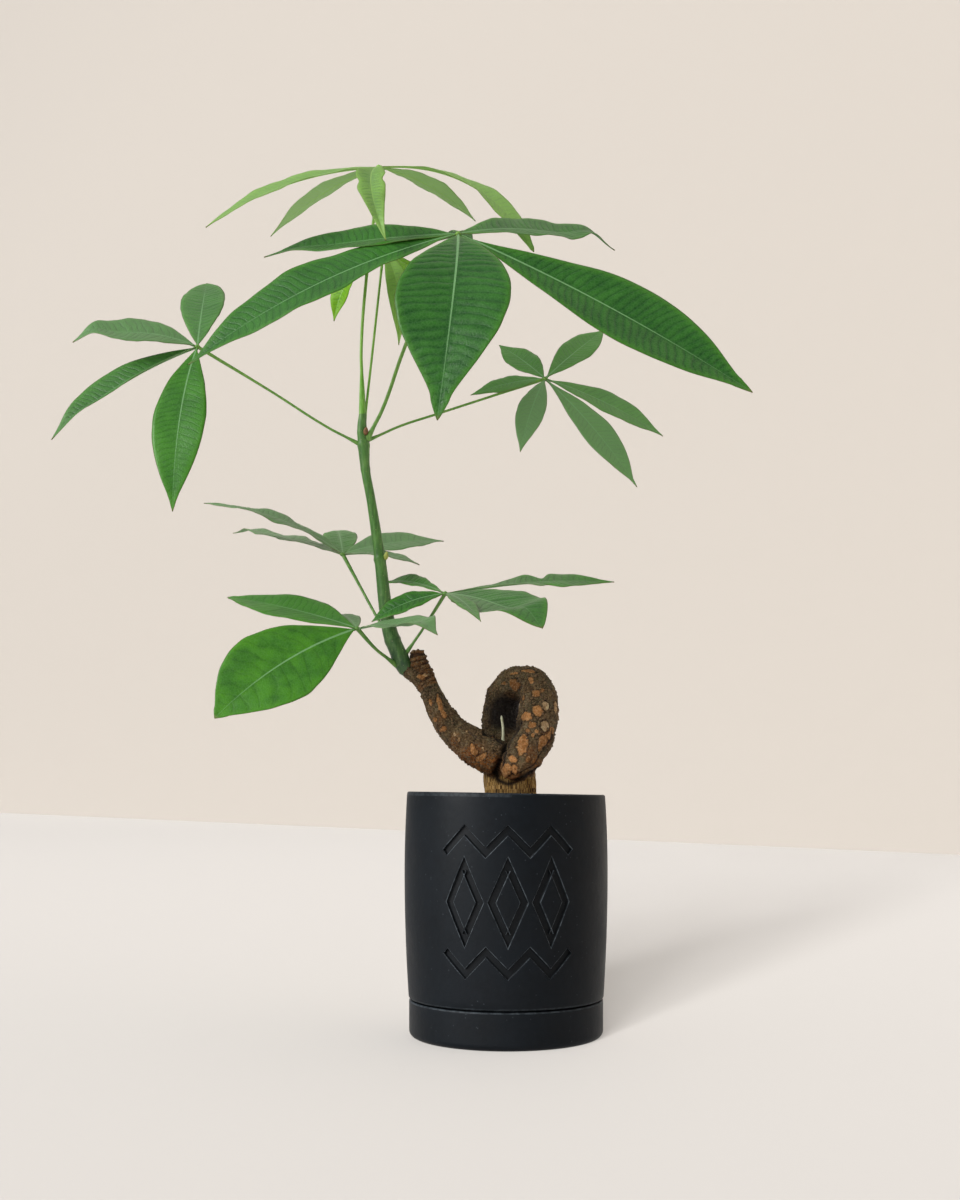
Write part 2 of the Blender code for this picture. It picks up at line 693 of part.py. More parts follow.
def main():
    clear_scene()
    parts = new_collection("potted money tree")
    tools = new_collection("cutters")
    ceramic = material("black ceramic", CERAMIC, 0.55)
    build_pot(parts, tools, ceramic)
    build_saucer(parts, ceramic)
    build_soil(parts, tools, material("soil", SOIL_BROWN, 0.95))
    build_trunk(parts, tools, material("bark", WOOD_BROWN, 0.85))
    build_shoot(parts, tools, material("green stem", STEM_GREEN, 0.5))
    build_sprout(parts, material("dry straw", STRAW, 0.8))
    grown = material("grown leaf", LEAF_GREEN, 0.4)
    young = material("young leaf", YOUNG_GREEN, 0.4)
    for name, leaf in LEAVES.items():
        surface = young if name in ("leaf_top", "leaf_second") else grown
        build_leaf(name, leaf, parts, tools, surface)


main()
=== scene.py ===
# The finished look of the potted money tree: matt pot and saucer, soil, bark, green shoot and leaves.
# Metres, +Z up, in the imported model's own frame. The front of the plant faces -Y.
import math

import bmesh
import bpy
import numpy as np
from mathutils import Matrix, Vector, noise


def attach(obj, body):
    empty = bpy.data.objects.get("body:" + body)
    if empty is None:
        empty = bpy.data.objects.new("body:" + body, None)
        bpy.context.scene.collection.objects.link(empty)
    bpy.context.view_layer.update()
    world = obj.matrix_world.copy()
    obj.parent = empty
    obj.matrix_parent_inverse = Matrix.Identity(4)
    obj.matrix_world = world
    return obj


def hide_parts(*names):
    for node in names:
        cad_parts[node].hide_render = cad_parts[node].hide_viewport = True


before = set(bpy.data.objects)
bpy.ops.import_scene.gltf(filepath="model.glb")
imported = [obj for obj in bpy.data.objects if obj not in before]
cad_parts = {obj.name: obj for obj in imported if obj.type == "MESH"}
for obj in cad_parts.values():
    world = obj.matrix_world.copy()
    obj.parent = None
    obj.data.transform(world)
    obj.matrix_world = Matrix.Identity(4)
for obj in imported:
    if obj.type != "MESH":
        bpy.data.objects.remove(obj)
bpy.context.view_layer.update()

mm = 0.001
mergeGap = 0.000001  # points closer than this, in metres, are one
rootBody = "root"


# Small helpers for objects and meshes

def linkObject(name, data):
    obj = bpy.data.objects.new(name, data)
    bpy.context.scene.collection.objects.link(obj)
    return obj


# The object with its modifiers applied, as a new plain mesh object
def plainMesh(obj, name):
    bpy.context.view_layer.update()
    graph = bpy.context.evaluated_depsgraph_get()
    mesh = bpy.data.meshes.new_from_object(obj.evaluated_get(graph), depsgraph=graph)
    bpy.data.objects.remove(obj)
    return linkObject(name, mesh)


def meshObject(body, name):
    mesh = bpy.data.meshes.new(name)
    body.to_mesh(mesh)
    body.free()
    return linkObject(name, mesh)


# Gives a finished piece its material and its body, and hides the nodes that it stands for
def wear(obj, material, slotName, *nodes):
    obj.data.materials.clear()
    obj.data.materials.append(material)
    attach(obj, rootBody)
    if nodes:
        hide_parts(*nodes)


# Stores a value for each point or each face of a mesh
def addValues(mesh, name, values, kind="FLOAT", domain="POINT"):
    layer = mesh.attributes.new(name, kind, domain)
    field = "vector" if kind == "FLOAT_VECTOR" else "value"
    layer.data.foreach_set(field, np.asarray(values, bool if kind == "BOOLEAN" else np.float32).ravel())


# Marks the faces that lumps may be scattered over
def markBed(mesh, chosen):
    addValues(mesh, "bed", chosen, "BOOLEAN", "FACE")


def coordinates(mesh):
    values = np.empty(len(mesh.vertices) * 3, np.float32)
    mesh.vertices.foreach_get("co", values)
    return values.reshape(-1, 3).astype(float)


def setCoordinates(mesh, points):
    mesh.vertices.foreach_set("co", points.astype(np.float32).ravel())


def normalised(vectors):
    return vectors / np.maximum(np.linalg.norm(vectors, axis=-1, keepdims=True), 1e-12)


def smoothStep(values, low, high):
    share = np.clip((values - low) / (high - low), 0, 1)
    return share * share * (3 - 2 * share)


# Smooth noise from -1 to 1 at an array of points in metres; size is the width of its lumps in metres
def noiseAt(points, size, seed=0):
    shift = Vector((seed * 17.3, seed * 5.1, seed * 9.7))
    return np.array([noise.noise(Vector(point) / size + shift) for point in points])


# Helpers for node trees

def plug(tree, socket, value):
    if isinstance(value, bpy.types.NodeSocket):
        tree.links.new(value, socket)
    else:
        socket.default_value = value


def addNode(tree, kind, inputs=None, **settings):
    node = tree.nodes.new(kind)
    for name, value in settings.items():
        setattr(node, name, value)
    for name, value in (inputs or {}).items():
        plug(tree, node.inputs[name], value)
    return node


def maths(tree, operation, first, second=0.0, clamp=False):
    node = addNode(tree, "ShaderNodeMath", {0: first, 1: second}, operation=operation, use_clamp=clamp)
    return node.outputs[0]


def times(tree, first, second):
    return maths(tree, "MULTIPLY", first, second)


def opposite(tree, share):
    return maths(tree, "SUBTRACT", 1.0, share)


def blendColours(tree, share, first, second):
    node = addNode(tree, "ShaderNodeMix", {0: share, 6: first, 7: second}, data_type="RGBA")
    return node.outputs[2]


# Maps low..high to start..end, smoothly and clamped
def span(tree, value, low, high, start=0.0, end=1.0):
    inputs = {"Value": value, "From Min": low, "From Max": high, "To Min": start, "To Max": end}
    return addNode(tree, "ShaderNodeMapRange", inputs, interpolation_type="SMOOTHSTEP").outputs["Result"]


def attribute(tree, name, output="Fac"):
    return addNode(tree, "ShaderNodeAttribute", attribute_name=name).outputs[output]


# A linear colour from a hex code
def paint(code):
    parts = [int(code[i:i + 2], 16) / 255 for i in (0, 2, 4)]
    return (*[part / 12.92 if part <= 0.04045 else ((part + 0.055) / 1.055) ** 2.4 for part in parts], 1)


# Lays a paint over a colour by a share, which a strength can weaken
def tint(tree, colour, share, code, strength=None):
    if strength is not None:
        share = times(tree, share, strength)
    return blendColours(tree, share, colour, paint(code))


# A node group with named sockets: (name, type, default) going in and (name, type) coming out
def newGroup(name, kind, inputs, outputs):
    tree = bpy.data.node_groups.new(name, kind)
    for socketName, socketType, default in inputs:
        socket = tree.interface.new_socket(socketName, in_out="INPUT", socket_type="NodeSocket" + socketType)
        if default is not None:
            socket.default_value = default
    for socketName, socketType in outputs:
        tree.interface.new_socket(socketName, in_out="OUTPUT", socket_type="NodeSocket" + socketType)
    return tree, addNode(tree, "NodeGroupInput").outputs, addNode(tree, "NodeGroupOutput").inputs


def useGroup(tree, group, **inputs):
    node = tree.nodes.new("ShaderNodeGroup")
    node.node_tree = group
    for name, value in inputs.items():
        plug(tree, node.inputs[name], value)
    return node.outputs


def newMaterial(name, roughness=0.5, specular=0.5):
    made = bpy.data.materials.new(name)
    made.use_nodes = True
    tree = made.node_tree
    shader = tree.nodes["Principled BSDF"]
    shader.inputs["Roughness"].default_value = roughness
    shader.inputs["Specular IOR Level"].default_value = specular
    return made, tree, shader, addNode(tree, "ShaderNodeTexCoord").outputs["Object"]


def relief(tree, shader, height, distance):
    bump = addNode(tree, "ShaderNodeBump", {"Height": height, "Distance": distance, "Strength": 1.0})
    tree.links.new(bump.outputs["Normal"], shader.inputs["Normal"])


# Effects that several materials share

# Soft blotches: 0 to 1 over the surface. Size is their width in mm, and Contrast how hard their edges are
def mottleGroup():
    tree, given, out = newGroup(
        "mottle", "ShaderNodeTree",
        [("Vector", "Vector", None), ("Size", "Float", 10.0), ("Contrast", "Float", 0.3)],
        [("Mask", "Float")])
    scale = maths(tree, "DIVIDE", 1000.0, given["Size"])
    cloud = addNode(tree, "ShaderNodeTexNoise",
                    {"Vector": given["Vector"], "Scale": scale, "Detail": 5.0, "Roughness": 0.6})
    reach = maths(tree, "SUBTRACT", 0.5, times(tree, given["Contrast"], 0.5))
    low, high = maths(tree, "SUBTRACT", 0.5, reach), maths(tree, "ADD", 0.5, reach)
    plug(tree, out["Mask"], span(tree, cloud.outputs[0], low, high))
    return tree


# Scattered small dots. Spacing is in mm, and Share how much of each cell a dot may fill
def speckGroup():
    tree, given, out = newGroup(
        "specks", "ShaderNodeTree",
        [("Vector", "Vector", None), ("Spacing", "Float", 4.0), ("Share", "Float", 0.2),
         ("Rarity", "Float", 0.5)],
        [("Mask", "Float")])
    scale = maths(tree, "DIVIDE", 1000.0, given["Spacing"])
    cells = addNode(tree, "ShaderNodeTexVoronoi", {"Vector": given["Vector"], "Scale": scale})
    pick = addNode(tree, "ShaderNodeSeparateColor", {0: cells.outputs["Color"]}).outputs[0]
    kept = maths(tree, "GREATER_THAN", pick, given["Rarity"])
    dot = maths(tree, "LESS_THAN", cells.outputs["Distance"], times(tree, given["Share"], pick))
    plug(tree, out["Mask"], times(tree, dot, kept))
    return tree


# Fine grain as a height from 0 to 1. Size is in mm
def grainGroup():
    tree, given, out = newGroup(
        "fine grain", "ShaderNodeTree",
        [("Vector", "Vector", None), ("Size", "Float", 0.5)],
        [("Height", "Float")])
    scale = maths(tree, "DIVIDE", 1000.0, given["Size"])
    fine = addNode(tree, "ShaderNodeTexNoise", {"Vector": given["Vector"], "Scale": scale, "Detail": 3.0})
    plug(tree, out["Height"], fine.outputs[0])
    return tree


# A leaflet's side veins and its fine net. Phase grows by one from each side vein to the next
def veinGroup():
    tree, given, out = newGroup(
        "leaf veins", "ShaderNodeTree",
        [("Vector", "Vector", None), ("Phase", "Float", 0.0), ("Width", "Float", 0.12)],
        [("Veins", "Float"), ("Net", "Float")])
    fromVein = maths(tree, "PINGPONG", given["Phase"], 0.5)  # 0 on a vein, 0.5 midway
    plug(tree, out["Veins"], opposite(tree, span(tree, fromVein, 0.0, given["Width"])))
    cells = addNode(tree, "ShaderNodeTexVoronoi", {"Vector": given["Vector"], "Scale": 520.0},
                    feature="DISTANCE_TO_EDGE")
    plug(tree, out["Net"], opposite(tree, span(tree, cells.outputs["Distance"], 0.0, 0.22)))
    return tree


# Lengthwise streaks from the wood's own grain coordinates (cos, sin and length along the limb)
def streakGroup():
    tree, given, out = newGroup(
        "wood streaks", "ShaderNodeTree",
        [("Grain", "Vector", None), ("Fineness", "Float", 6.0), ("Stretch", "Float", 8.0)],
        [("Mask", "Float")])
    stretch = addNode(tree, "ShaderNodeCombineXYZ",
                      {0: 1.0, 1: 1.0, 2: maths(tree, "DIVIDE", 1.0, given["Stretch"])})
    squeezed = addNode(tree, "ShaderNodeVectorMath", {0: given["Grain"], 1: stretch.outputs[0]},
                       operation="MULTIPLY")
    fine = addNode(tree, "ShaderNodeTexNoise", {"Vector": squeezed.outputs[0], "Scale": given["Fineness"],
                                                "Detail": 4.0, "Roughness": 0.65})
    plug(tree, out["Mask"], span(tree, fine.outputs[0], 0.34, 0.66))
    return tree


mottle, specks, grain = mottleGroup(), speckGroup(), grainGroup()
veins, streaks = veinGroup(), streakGroup()
print("shared effects made")


def blotches(tree, where, size, contrast):
    return useGroup(tree, mottle, Vector=where, Size=size, Contrast=contrast)["Mask"]


def fineGrain(tree, where, size):
    return useGroup(tree, grain, Vector=where, Size=size)["Height"]


# Geometry node trees

# Ends a tree: real geometry, with its material on
def finishTree(tree, last, given, out):
    real = addNode(tree, "GeometryNodeRealizeInstances", {"Geometry": last.outputs[0]})
    dressed = addNode(tree, "GeometryNodeSetMaterial",
                      {"Geometry": real.outputs[0], "Material": given["Material"]})
    plug(tree, out["Geometry"], dressed.outputs[0])


# Sweeps a round section along a path, as wide as the path's own radius
def sweepTree():
    tree, given, out = newGroup(
        "sweep along path", "GeometryNodeTree",
        [("Geometry", "Geometry", None), ("Sides", "Int", 16), ("Material", "Material", None)],
        [("Geometry", "Geometry")])
    section = addNode(tree, "GeometryNodeCurvePrimitiveCircle", {"Resolution": given["Sides"], "Radius": 1.0})
    width = addNode(tree, "GeometryNodeInputRadius")
    swept = addNode(tree, "GeometryNodeCurveToMesh",
                    {"Curve": given["Geometry"], "Profile Curve": section.outputs["Curve"],
                     "Scale": width.outputs[0], "Fill Caps": True})
    joined = addNode(tree, "GeometryNodeMergeByDistance",
                     {"Geometry": swept.outputs[0], "Distance": mergeGap})
    smooth = addNode(tree, "GeometryNodeSetShadeSmooth", {"Geometry": joined.outputs[0]})
    finishTree(tree, smooth, given, out)
    return tree


# Scatters small lumps over the faces marked as bed, each turned and sized by chance
def scatterTree():
    tree, given, out = newGroup(
        "scatter lumps", "GeometryNodeTree",
        [("Geometry", "Geometry", None), ("Spacing", "Float", 0.002), ("Smallest", "Float", 0.0006),
         ("Largest", "Float", 0.002), ("Flatness", "Float", 0.7), ("Sink", "Float", 0.0),
         ("Detail", "Int", 1), ("Aligned", "Float", 0.0), ("Seed", "Int", 1),
         ("Material", "Material", None)],
        [("Geometry", "Geometry")])
    bed = addNode(tree, "GeometryNodeInputNamedAttribute", {"Name": "bed"}, data_type="BOOLEAN")
    points = addNode(tree, "GeometryNodeDistributePointsOnFaces",
                     {"Mesh": given["Geometry"], "Selection": bed.outputs[0],
                      "Distance Min": given["Spacing"], "Density Max": 4000000.0, "Seed": given["Seed"]},
                     distribute_method="POISSON")
    sunk = addNode(tree, "ShaderNodeVectorMath", {0: points.outputs["Normal"], "Scale": given["Sink"]},
                   operation="SCALE")
    lowered = addNode(tree, "GeometryNodeSetPosition",
                      {"Geometry": points.outputs[0], "Offset": sunk.outputs[0]})
    fullTurn = (6.28, 6.28, 6.28)
    anyWay = addNode(tree, "FunctionNodeRandomValue",
                     {0: (0.0, 0.0, 0.0), 1: fullTurn, "Seed": given["Seed"]}, data_type="FLOAT_VECTOR")
    tumbled = addNode(tree, "FunctionNodeEulerToRotation", {0: anyWay.outputs[0]})
    turn = addNode(tree, "GeometryNodeSwitch",
                   {0: maths(tree, "GREATER_THAN", given["Aligned"], 0.5), 1: tumbled.outputs[0],
                    2: points.outputs["Rotation"]}, input_type="ROTATION")
    sizeSeed, toneSeed = (maths(tree, "ADD", given["Seed"], extra) for extra in (1.0, 2.0))
    size = addNode(tree, "FunctionNodeRandomValue",
                   {2: given["Smallest"], 3: given["Largest"], "Seed": sizeSeed}, data_type="FLOAT")
    flat = addNode(tree, "ShaderNodeCombineXYZ", {0: 1.0, 1: 0.8, 2: given["Flatness"]})
    sizes = addNode(tree, "ShaderNodeVectorMath", {0: flat.outputs[0], "Scale": size.outputs[1]},
                    operation="SCALE")
    ball = addNode(tree, "GeometryNodeMeshIcoSphere", {"Radius": 1.0, "Subdivisions": given["Detail"]})
    placed = addNode(tree, "GeometryNodeInstanceOnPoints",
                     {"Points": lowered.outputs[0], "Instance": ball.outputs[0], "Rotation": turn.outputs[0],
                      "Scale": sizes.outputs[0]})
    chance = addNode(tree, "FunctionNodeRandomValue", {2: 0.0, 3: 1.0, "Seed": toneSeed}, data_type="FLOAT")
    toned = addNode(tree, "GeometryNodeStoreNamedAttribute",
                    {"Geometry": placed.outputs[0], "Name": "tone", "Value": chance.outputs[1]},
                    data_type="FLOAT", domain="INSTANCE")
    finishTree(tree, toned, given, out)
    return tree


# Runs a geometry node tree on an object and keeps the result as a plain mesh object
def runTree(obj, tree, name, **inputs):
    modifier = obj.modifiers.new("Nodes", "NODES")
    modifier.node_group = tree
    for item in tree.interface.items_tree:
        if item.in_out == "INPUT" and item.name in inputs:
            modifier[item.identifier] = inputs[item.name]
    return plainMesh(obj, name)


sweepAlongPath, scatterLumps = sweepTree(), scatterTree()


# The smooth line through places in mm with radii in mm: its points and radii in metres
def pathThrough(points, steps):
    curve = bpy.data.curves.new("path", "CURVE")
    curve.dimensions = "3D"
    curve.resolution_u = steps
    spline = curve.splines.new("BEZIER")
    spline.bezier_points.add(len(points) - 1)
    for knot, (spot, radius) in zip(spline.bezier_points, points):
        knot.co = Vector(spot) * mm
        knot.handle_left_type = knot.handle_right_type = "AUTO"
    line = plainMesh(linkObject("path", curve), "line")
    places = coordinates(line.data)
    bpy.data.objects.remove(line)
    share = np.linspace(0, len(points) - 1, len(places))
    radii = np.interp(share, range(len(points)), [radius for spot, radius in points]) * mm
    return places, radii


# A tube along places in metres, each with its own radius
def sweep(name, places, radii, sides, material):
    curve = bpy.data.curves.new(name, "CURVE")
    curve.dimensions = "3D"
    spline = curve.splines.new("POLY")
    spline.points.add(len(places) - 1)
    for point, place, radius in zip(spline.points, places, radii):
        point.co = (*place, 1)
        point.radius = radius
    return runTree(linkObject(name, curve), sweepAlongPath, name, Sides=sides, Material=material)


# Several mesh objects as one, their bodies kept as they are
def fuse(name, objects):
    body = bmesh.new()
    for obj in objects:
        body.from_mesh(obj.data)
        bpy.data.objects.remove(obj)
    return meshObject(body, name)


def cut(obj, cutters, name):
    for cutter in cutters:
        boolean = obj.modifiers.new("Cut", "BOOLEAN")
        boolean.operation = "DIFFERENCE"
        boolean.object = cutter
        boolean.solver = "MANIFOLD"
    made = plainMesh(obj, name)
    for cutter in cutters:
        bpy.data.objects.remove(cutter)
    return made


# A solid of revolution from a profile of (radius, height) in mm that runs down its outer side
def turned(name, profile, steps, closed=False):
    body = bmesh.new()
    points = [body.verts.new((radius * mm, 0, height * mm)) for radius, height in profile]
    for first, second in zip(points, points[1:]):
        body.edges.new((first, second))
    if closed:
        body.edges.new((points[-1], points[0]))
    obj = meshObject(body, name)
    screw = obj.modifiers.new("Turn", "SCREW")
    screw.steps = screw.render_steps = steps
    screw.use_merge_vertices = True
    screw.merge_threshold = mergeGap
    return plainMesh(obj, name)


# Points of an arc in a profile, from one angle in degrees to another
def arc(centre, radius, first, last, steps):
    angles = np.radians(np.linspace(first, last, steps + 1))
    return [(centre[0] + radius * math.cos(angle), centre[1] + radius * math.sin(angle)) for angle in angles]


# Camera and light

camera = dict(place=(-16, -850, 148), lens=41.4, shiftUp=0.162)
# The sky glows brightest from one side. Each lamp is far away and soft: the way it lies from the plant, how
# wide it looks in degrees, and its strength. The main lamp lights the plant, a wash lights the floor and the
# wall evenly, three low rakes side by side light the floor and lay down the long shadow, and a strip picks
# out the pot's side.
lights = dict(
    sky=dict(bright="ffffff", dim="6c747b", towards=(-0.70, -0.20, 0.68), spread=(-0.75, 0.9), strength=0.42),
    main=dict(towards=(-0.76, -0.38, 0.60), width=36, strength=3.0),
    wash=dict(towards=(0, -0.985, 0.17), width=5, strength=7.0),
    strip=dict(towards=(-0.80, -0.56, 0.20), width=44, strength=2.2),
    rakes=[dict(towards=(-0.41, -0.91, 0.11), width=9, strength=9.5),
           dict(towards=(-0.27, -0.96, 0.11), width=9, strength=8.0),
           dict(towards=(-0.12, -0.99, 0.11), width=9, strength=6.5)])
# The floor meets the wall on a slant, from wallLeft to wallRight in mm. Each fades to another brightness
# along an axis, between two places in metres: painted shade on the far floor and painted light up the wall,
# which even out how they are lit. The reaches are in metres too.
stage = dict(
    floor="b0aca8", wall="aba49c", roughness=0.85, wallLeft=(-3856, 10190), wallRight=(1158, 2526),
    wallStretch=5.0, wallHeight=14, floorReach=18,
    fades=dict(floor=(1, -0.4, 5.0, 0.89), wall=(2, 0.0, 4.5, 1.1)))


def buildCamera():
    data = bpy.data.cameras.new("camera")
    data.lens = camera["lens"]
    data.shift_y = camera["shiftUp"]
    obj = linkObject("camera", data)
    obj.location = Vector(camera["place"]) * mm
    obj.rotation_euler = (math.radians(90), 0, 0)
    bpy.context.scene.camera = obj


# A far lamp that lights only the named pieces, or everything but them
def hang(name, spec, pieces, state):
    data = bpy.data.lights.new(name, "SUN")
    data.angle = math.radians(spec["width"])
    data.energy = spec["strength"]
    towards = Vector(spec["towards"]).normalized()
    obj = linkObject(name, data)
    obj.location = towards * 2  # its direction alone counts
    obj.rotation_euler = towards.to_track_quat("Z", "Y").to_euler()
    lit = bpy.data.collections.new(name + " pieces")
    for piece in pieces:
        lit.objects.link(bpy.data.objects[piece])
    for member in lit.collection_objects:
        member.light_linking.link_state = state
    obj.light_linking.receiver_collection = lit
    return obj


def buildLights():
    world = bpy.data.worlds.new("studio")
    world.use_nodes = True
    sky = lights["sky"]
    tree = world.node_tree
    background = tree.nodes["Background"]
    background.inputs["Strength"].default_value = sky["strength"]
    way = addNode(tree, "ShaderNodeTexCoord").outputs["Generated"]
    facing = addNode(tree, "ShaderNodeVectorMath", {0: way, 1: Vector(sky["towards"]).normalized()},
                     operation="DOT_PRODUCT")
    glow = span(tree, facing.outputs["Value"], *sky["spread"])
    plug(tree, background.inputs["Color"], blendColours(tree, glow, paint(sky["dim"]), paint(sky["bright"])))
    bpy.context.scene.world = world
    hang("main", lights["main"], ("floor", "wall"), "EXCLUDE")
    hang("wash", lights["wash"], ("floor", "wall"), "INCLUDE").data.use_shadow = False
    for number, rake in enumerate(lights["rakes"]):
        hang(f"rake{number}", rake, ("floor",), "INCLUDE")


def buildStage():
    left, right = (Vector((*stage[side], 0)) * mm for side in ("wallLeft", "wallRight"))
    along = (left - right) * stage["wallStretch"]
    up = Vector((0, 0, stage["wallHeight"]))
    near = Vector((0, -stage["floorReach"], 0))
    corners = dict(
        floor=[right - along, left + along, left + along + near, right - along + near],
        wall=[right - along, right - along + up, left + along + up, left + along])
    for name, places in corners.items():
        made, tree, shader, where = newMaterial(name + " paint", stage["roughness"])
        axis, first, last, change = stage["fades"][name]
        distance = addNode(tree, "ShaderNodeSeparateXYZ", {0: where}).outputs[axis]
        base = paint(stage[name])
        faded = (*[part * change for part in base[:3]], 1)
        # Painted shade towards the far floor and painted light up the wall
        colour = blendColours(tree, span(tree, distance, first, last), base, faded)
        plug(tree, shader.inputs["Base Color"], colour)
        mesh = bpy.data.meshes.new(name)
        mesh.from_pydata([tuple(place) for place in places], [], [(0, 1, 2, 3)])
        mesh.materials.append(made)
        linkObject(name, mesh)


buildCamera()
buildStage()
buildLights()
bpy.context.scene.view_settings.view_transform = "Standard"
print("camera, lights and stage made")


# Pot and saucer

# Sizes in mm. The tapers say how fast the wall draws in above and below the belly. The rim slopes down to the
# right by rimSlope on either side of slopeMiddle, from slopeFrom up.
pot = dict(
    top=148, bellyHeight=100, bellyRadius=62.4, taperUp=0.00070, taperDown=0.00044, wall=5.5, rimRound=1.2,
    rimSlope=1.1, slopeFrom=125, slopeMiddle=0.7, floorBottom=5.3, floorTop=12, footRadius=54, footRound=2.4,
    drainRadius=7, drainEdge=0.6, floorCorner=4, flare=9, rings=34, innerRings=12, turns=168)
saucer = dict(radius=59.6, top=22.7, floor=5, wall=4.8, corner=4, fillet=2, lipRound=0.9, seam=0.9, rings=7)
band = dict(
    width=4.2, depth=1.8, edge=0.4, clear=0.02, middle=86, lozenge=(19, 42), pitch=26, zigzagOffset=35,
    zigzagRise=13, teeth=3, step=2.0, lowest=40, highest=132)
# The pale edge paint and its strengths on rims and lip stand partly for wear and partly for painted highlight
# Clouds, patches and rubs have their size in mm and their contrast
ceramicLook = dict(
    dark="05080c", light="0a0f14", patch="0f161c", dust="454b50", rubbedAndLit="50575c", groove="0d0f11",
    clouds=(34.0, 0.35), patches=(5.0, 0.3), rubs=(3.0, 0.6), dots=dict(Spacing=3.4, Share=0.13, Rarity=0.62),
    patchShare=0.3, dustShare=0.3, rubbedAndLitShare=0.7, grooveShare=0.5, grain=(0.55, 4.0), fineShare=0.25,
    reliefDepth=0.00012, roughness=(0.42, 0.54), specular=0.11, rimWearAndHighlight=0.3, lipWearAndHighlight=0.55, sharpAngle=32)


def potRadius(height):
    rise = height - pot["bellyHeight"]
    return pot["bellyRadius"] - pot["taperUp" if rise > 0 else "taperDown"] * rise * rise


# The cutter of one engraved line on the wall: flat floor, steep sides and a softly broken edge
def grooveCutter(path, closed):
    corners = [Vector(point) for point in path]
    pairs = list(zip(corners, corners[1:] + corners[:1] if closed else corners[1:]))
    stations = []
    for start, end in pairs:
        parts = max(1, round((end - start).length / band["step"]))
        stations += [start.lerp(end, i / parts) for i in range(parts)]
    if not closed:
        stations.append(corners[-1])
    half, depth, edge = band["width"] / 2, band["depth"], band["edge"]
    right = [(half + edge, -depth), (half + edge, band["clear"]), (half + edge * 0.3, edge * 0.3),
             (half, edge), (half, depth - edge), (half - edge, depth)]
    section = right + [(-offset, low) for offset, low in reversed(right)]
    body = bmesh.new()
    rings = []
    count = len(stations)
    for i, here in enumerate(stations):
        before = stations[i - 1] if closed or i else None
        after = stations[(i + 1) % count] if closed or i < count - 1 else None
        arrive = (here - before).normalized() if before else (after - here).normalized()
        leave = (after - here).normalized() if after else arrive
        turnIn, turnOut = Vector((-arrive.y, arrive.x)), Vector((-leave.y, leave.x))
        mitre = (turnIn + turnOut) / (1 + turnIn.dot(turnOut))
        ring = []
        for offset, low in section:
            spot = here + mitre * offset
            angle = spot.x / pot["bellyRadius"]
            radius = potRadius(spot.y) - low
            place = Vector((radius * math.sin(angle), -radius * math.cos(angle), spot.y))
            ring.append(body.verts.new(place * mm))
        rings.append(ring)
    sides = len(section)
    for ring, following in zip(rings, rings[1:] + rings[:1] if closed else rings[1:]):
        for i in range(sides):
            j = (i + 1) % sides
            body.faces.new((ring[i], ring[j], following[j], following[i]))
    if not closed:
        body.faces.new(rings[0])
        body.faces.new(rings[-1])
    bmesh.ops.triangulate(body, faces=body.faces)
    bmesh.ops.recalc_face_normals(body, faces=body.faces)
    return meshObject(body, "groove")


# Three outlined lozenges side by side, with a zigzag line above and one below
def bandCutters():
    cutters = []
    across, tall = band["lozenge"]
    for middle in (-band["pitch"], 0, band["pitch"]):
        outline = [(middle - across / 2, band["middle"]), (middle, band["middle"] - tall / 2),
                   (middle + across / 2, band["middle"]), (middle, band["middle"] + tall / 2)]
        cutters.append(grooveCutter(outline, True))
    for side in (-1, 1):
        line = []
        for i in range(2 * band["teeth"] + 1):
            rise = band["zigzagRise"] / 2 if i % 2 else -band["zigzagRise"] / 2
            line.append(((i - band["teeth"]) * band["pitch"] / 2,
                         band["middle"] + side * (band["zigzagOffset"] + rise)))
        cutters.append(grooveCutter(line, False))
    return cutters


# Matt black ceramic with a slight blue cast, cloudy patches, fine dust and paler edges, partly wear and
# partly painted highlight
def ceramicMaterial():
    look = ceramicLook
    made, tree, shader, where = newMaterial("matt black ceramic", 0.6, look["specular"])
    clouds = blotches(tree, where, *look["clouds"])
    colour = blendColours(tree, clouds, paint(look["dark"]), paint(look["light"]))
    patches = blotches(tree, where, *look["patches"])
    colour = tint(tree, colour, patches, look["patch"], look["patchShare"])
    dust = useGroup(tree, specks, Vector=where, **look["dots"])["Mask"]
    colour = tint(tree, colour, dust, look["dust"], look["dustShare"])
    rubbedAndLit = blotches(tree, where, *look["rubs"])
    # The paler broken edges, rims and lip are partly wear and partly painted highlight
    worn = times(tree, attribute(tree, "worn"), span(tree, rubbedAndLit, 0.1, 0.9, 0.25, 1.0))
    colour = tint(tree, colour, worn, look["rubbedAndLit"], look["rubbedAndLitShare"])
    colour = tint(tree, colour, attribute(tree, "sunk"), look["groove"], look["grooveShare"])
    plug(tree, shader.inputs["Base Color"], colour)
    plug(tree, shader.inputs["Roughness"], span(tree, clouds, 0.0, 1.0, *look["roughness"]))
    fine, coarse = (fineGrain(tree, where, size) for size in look["grain"])
    height = maths(tree, "ADD", times(tree, fine, look["fineShare"]), coarse)
    relief(tree, shader, height, look["reliefDepth"])
    return made


# Face values: paler on broken edges, rims and the seam, partly wear and partly painted highlight, and sunk
# inside the grooves
def markFaceTones(obj, faceToneOf):
    mesh = obj.data
    marks = np.array([faceToneOf(face) for face in mesh.polygons])
    for column, name in enumerate(("worn", "sunk")):
        addValues(mesh, name, marks[:, column], domain="FACE")
    mesh.shade_smooth()
    mesh.set_sharp_from_angle(angle=math.radians(ceramicLook["sharpAngle"]))


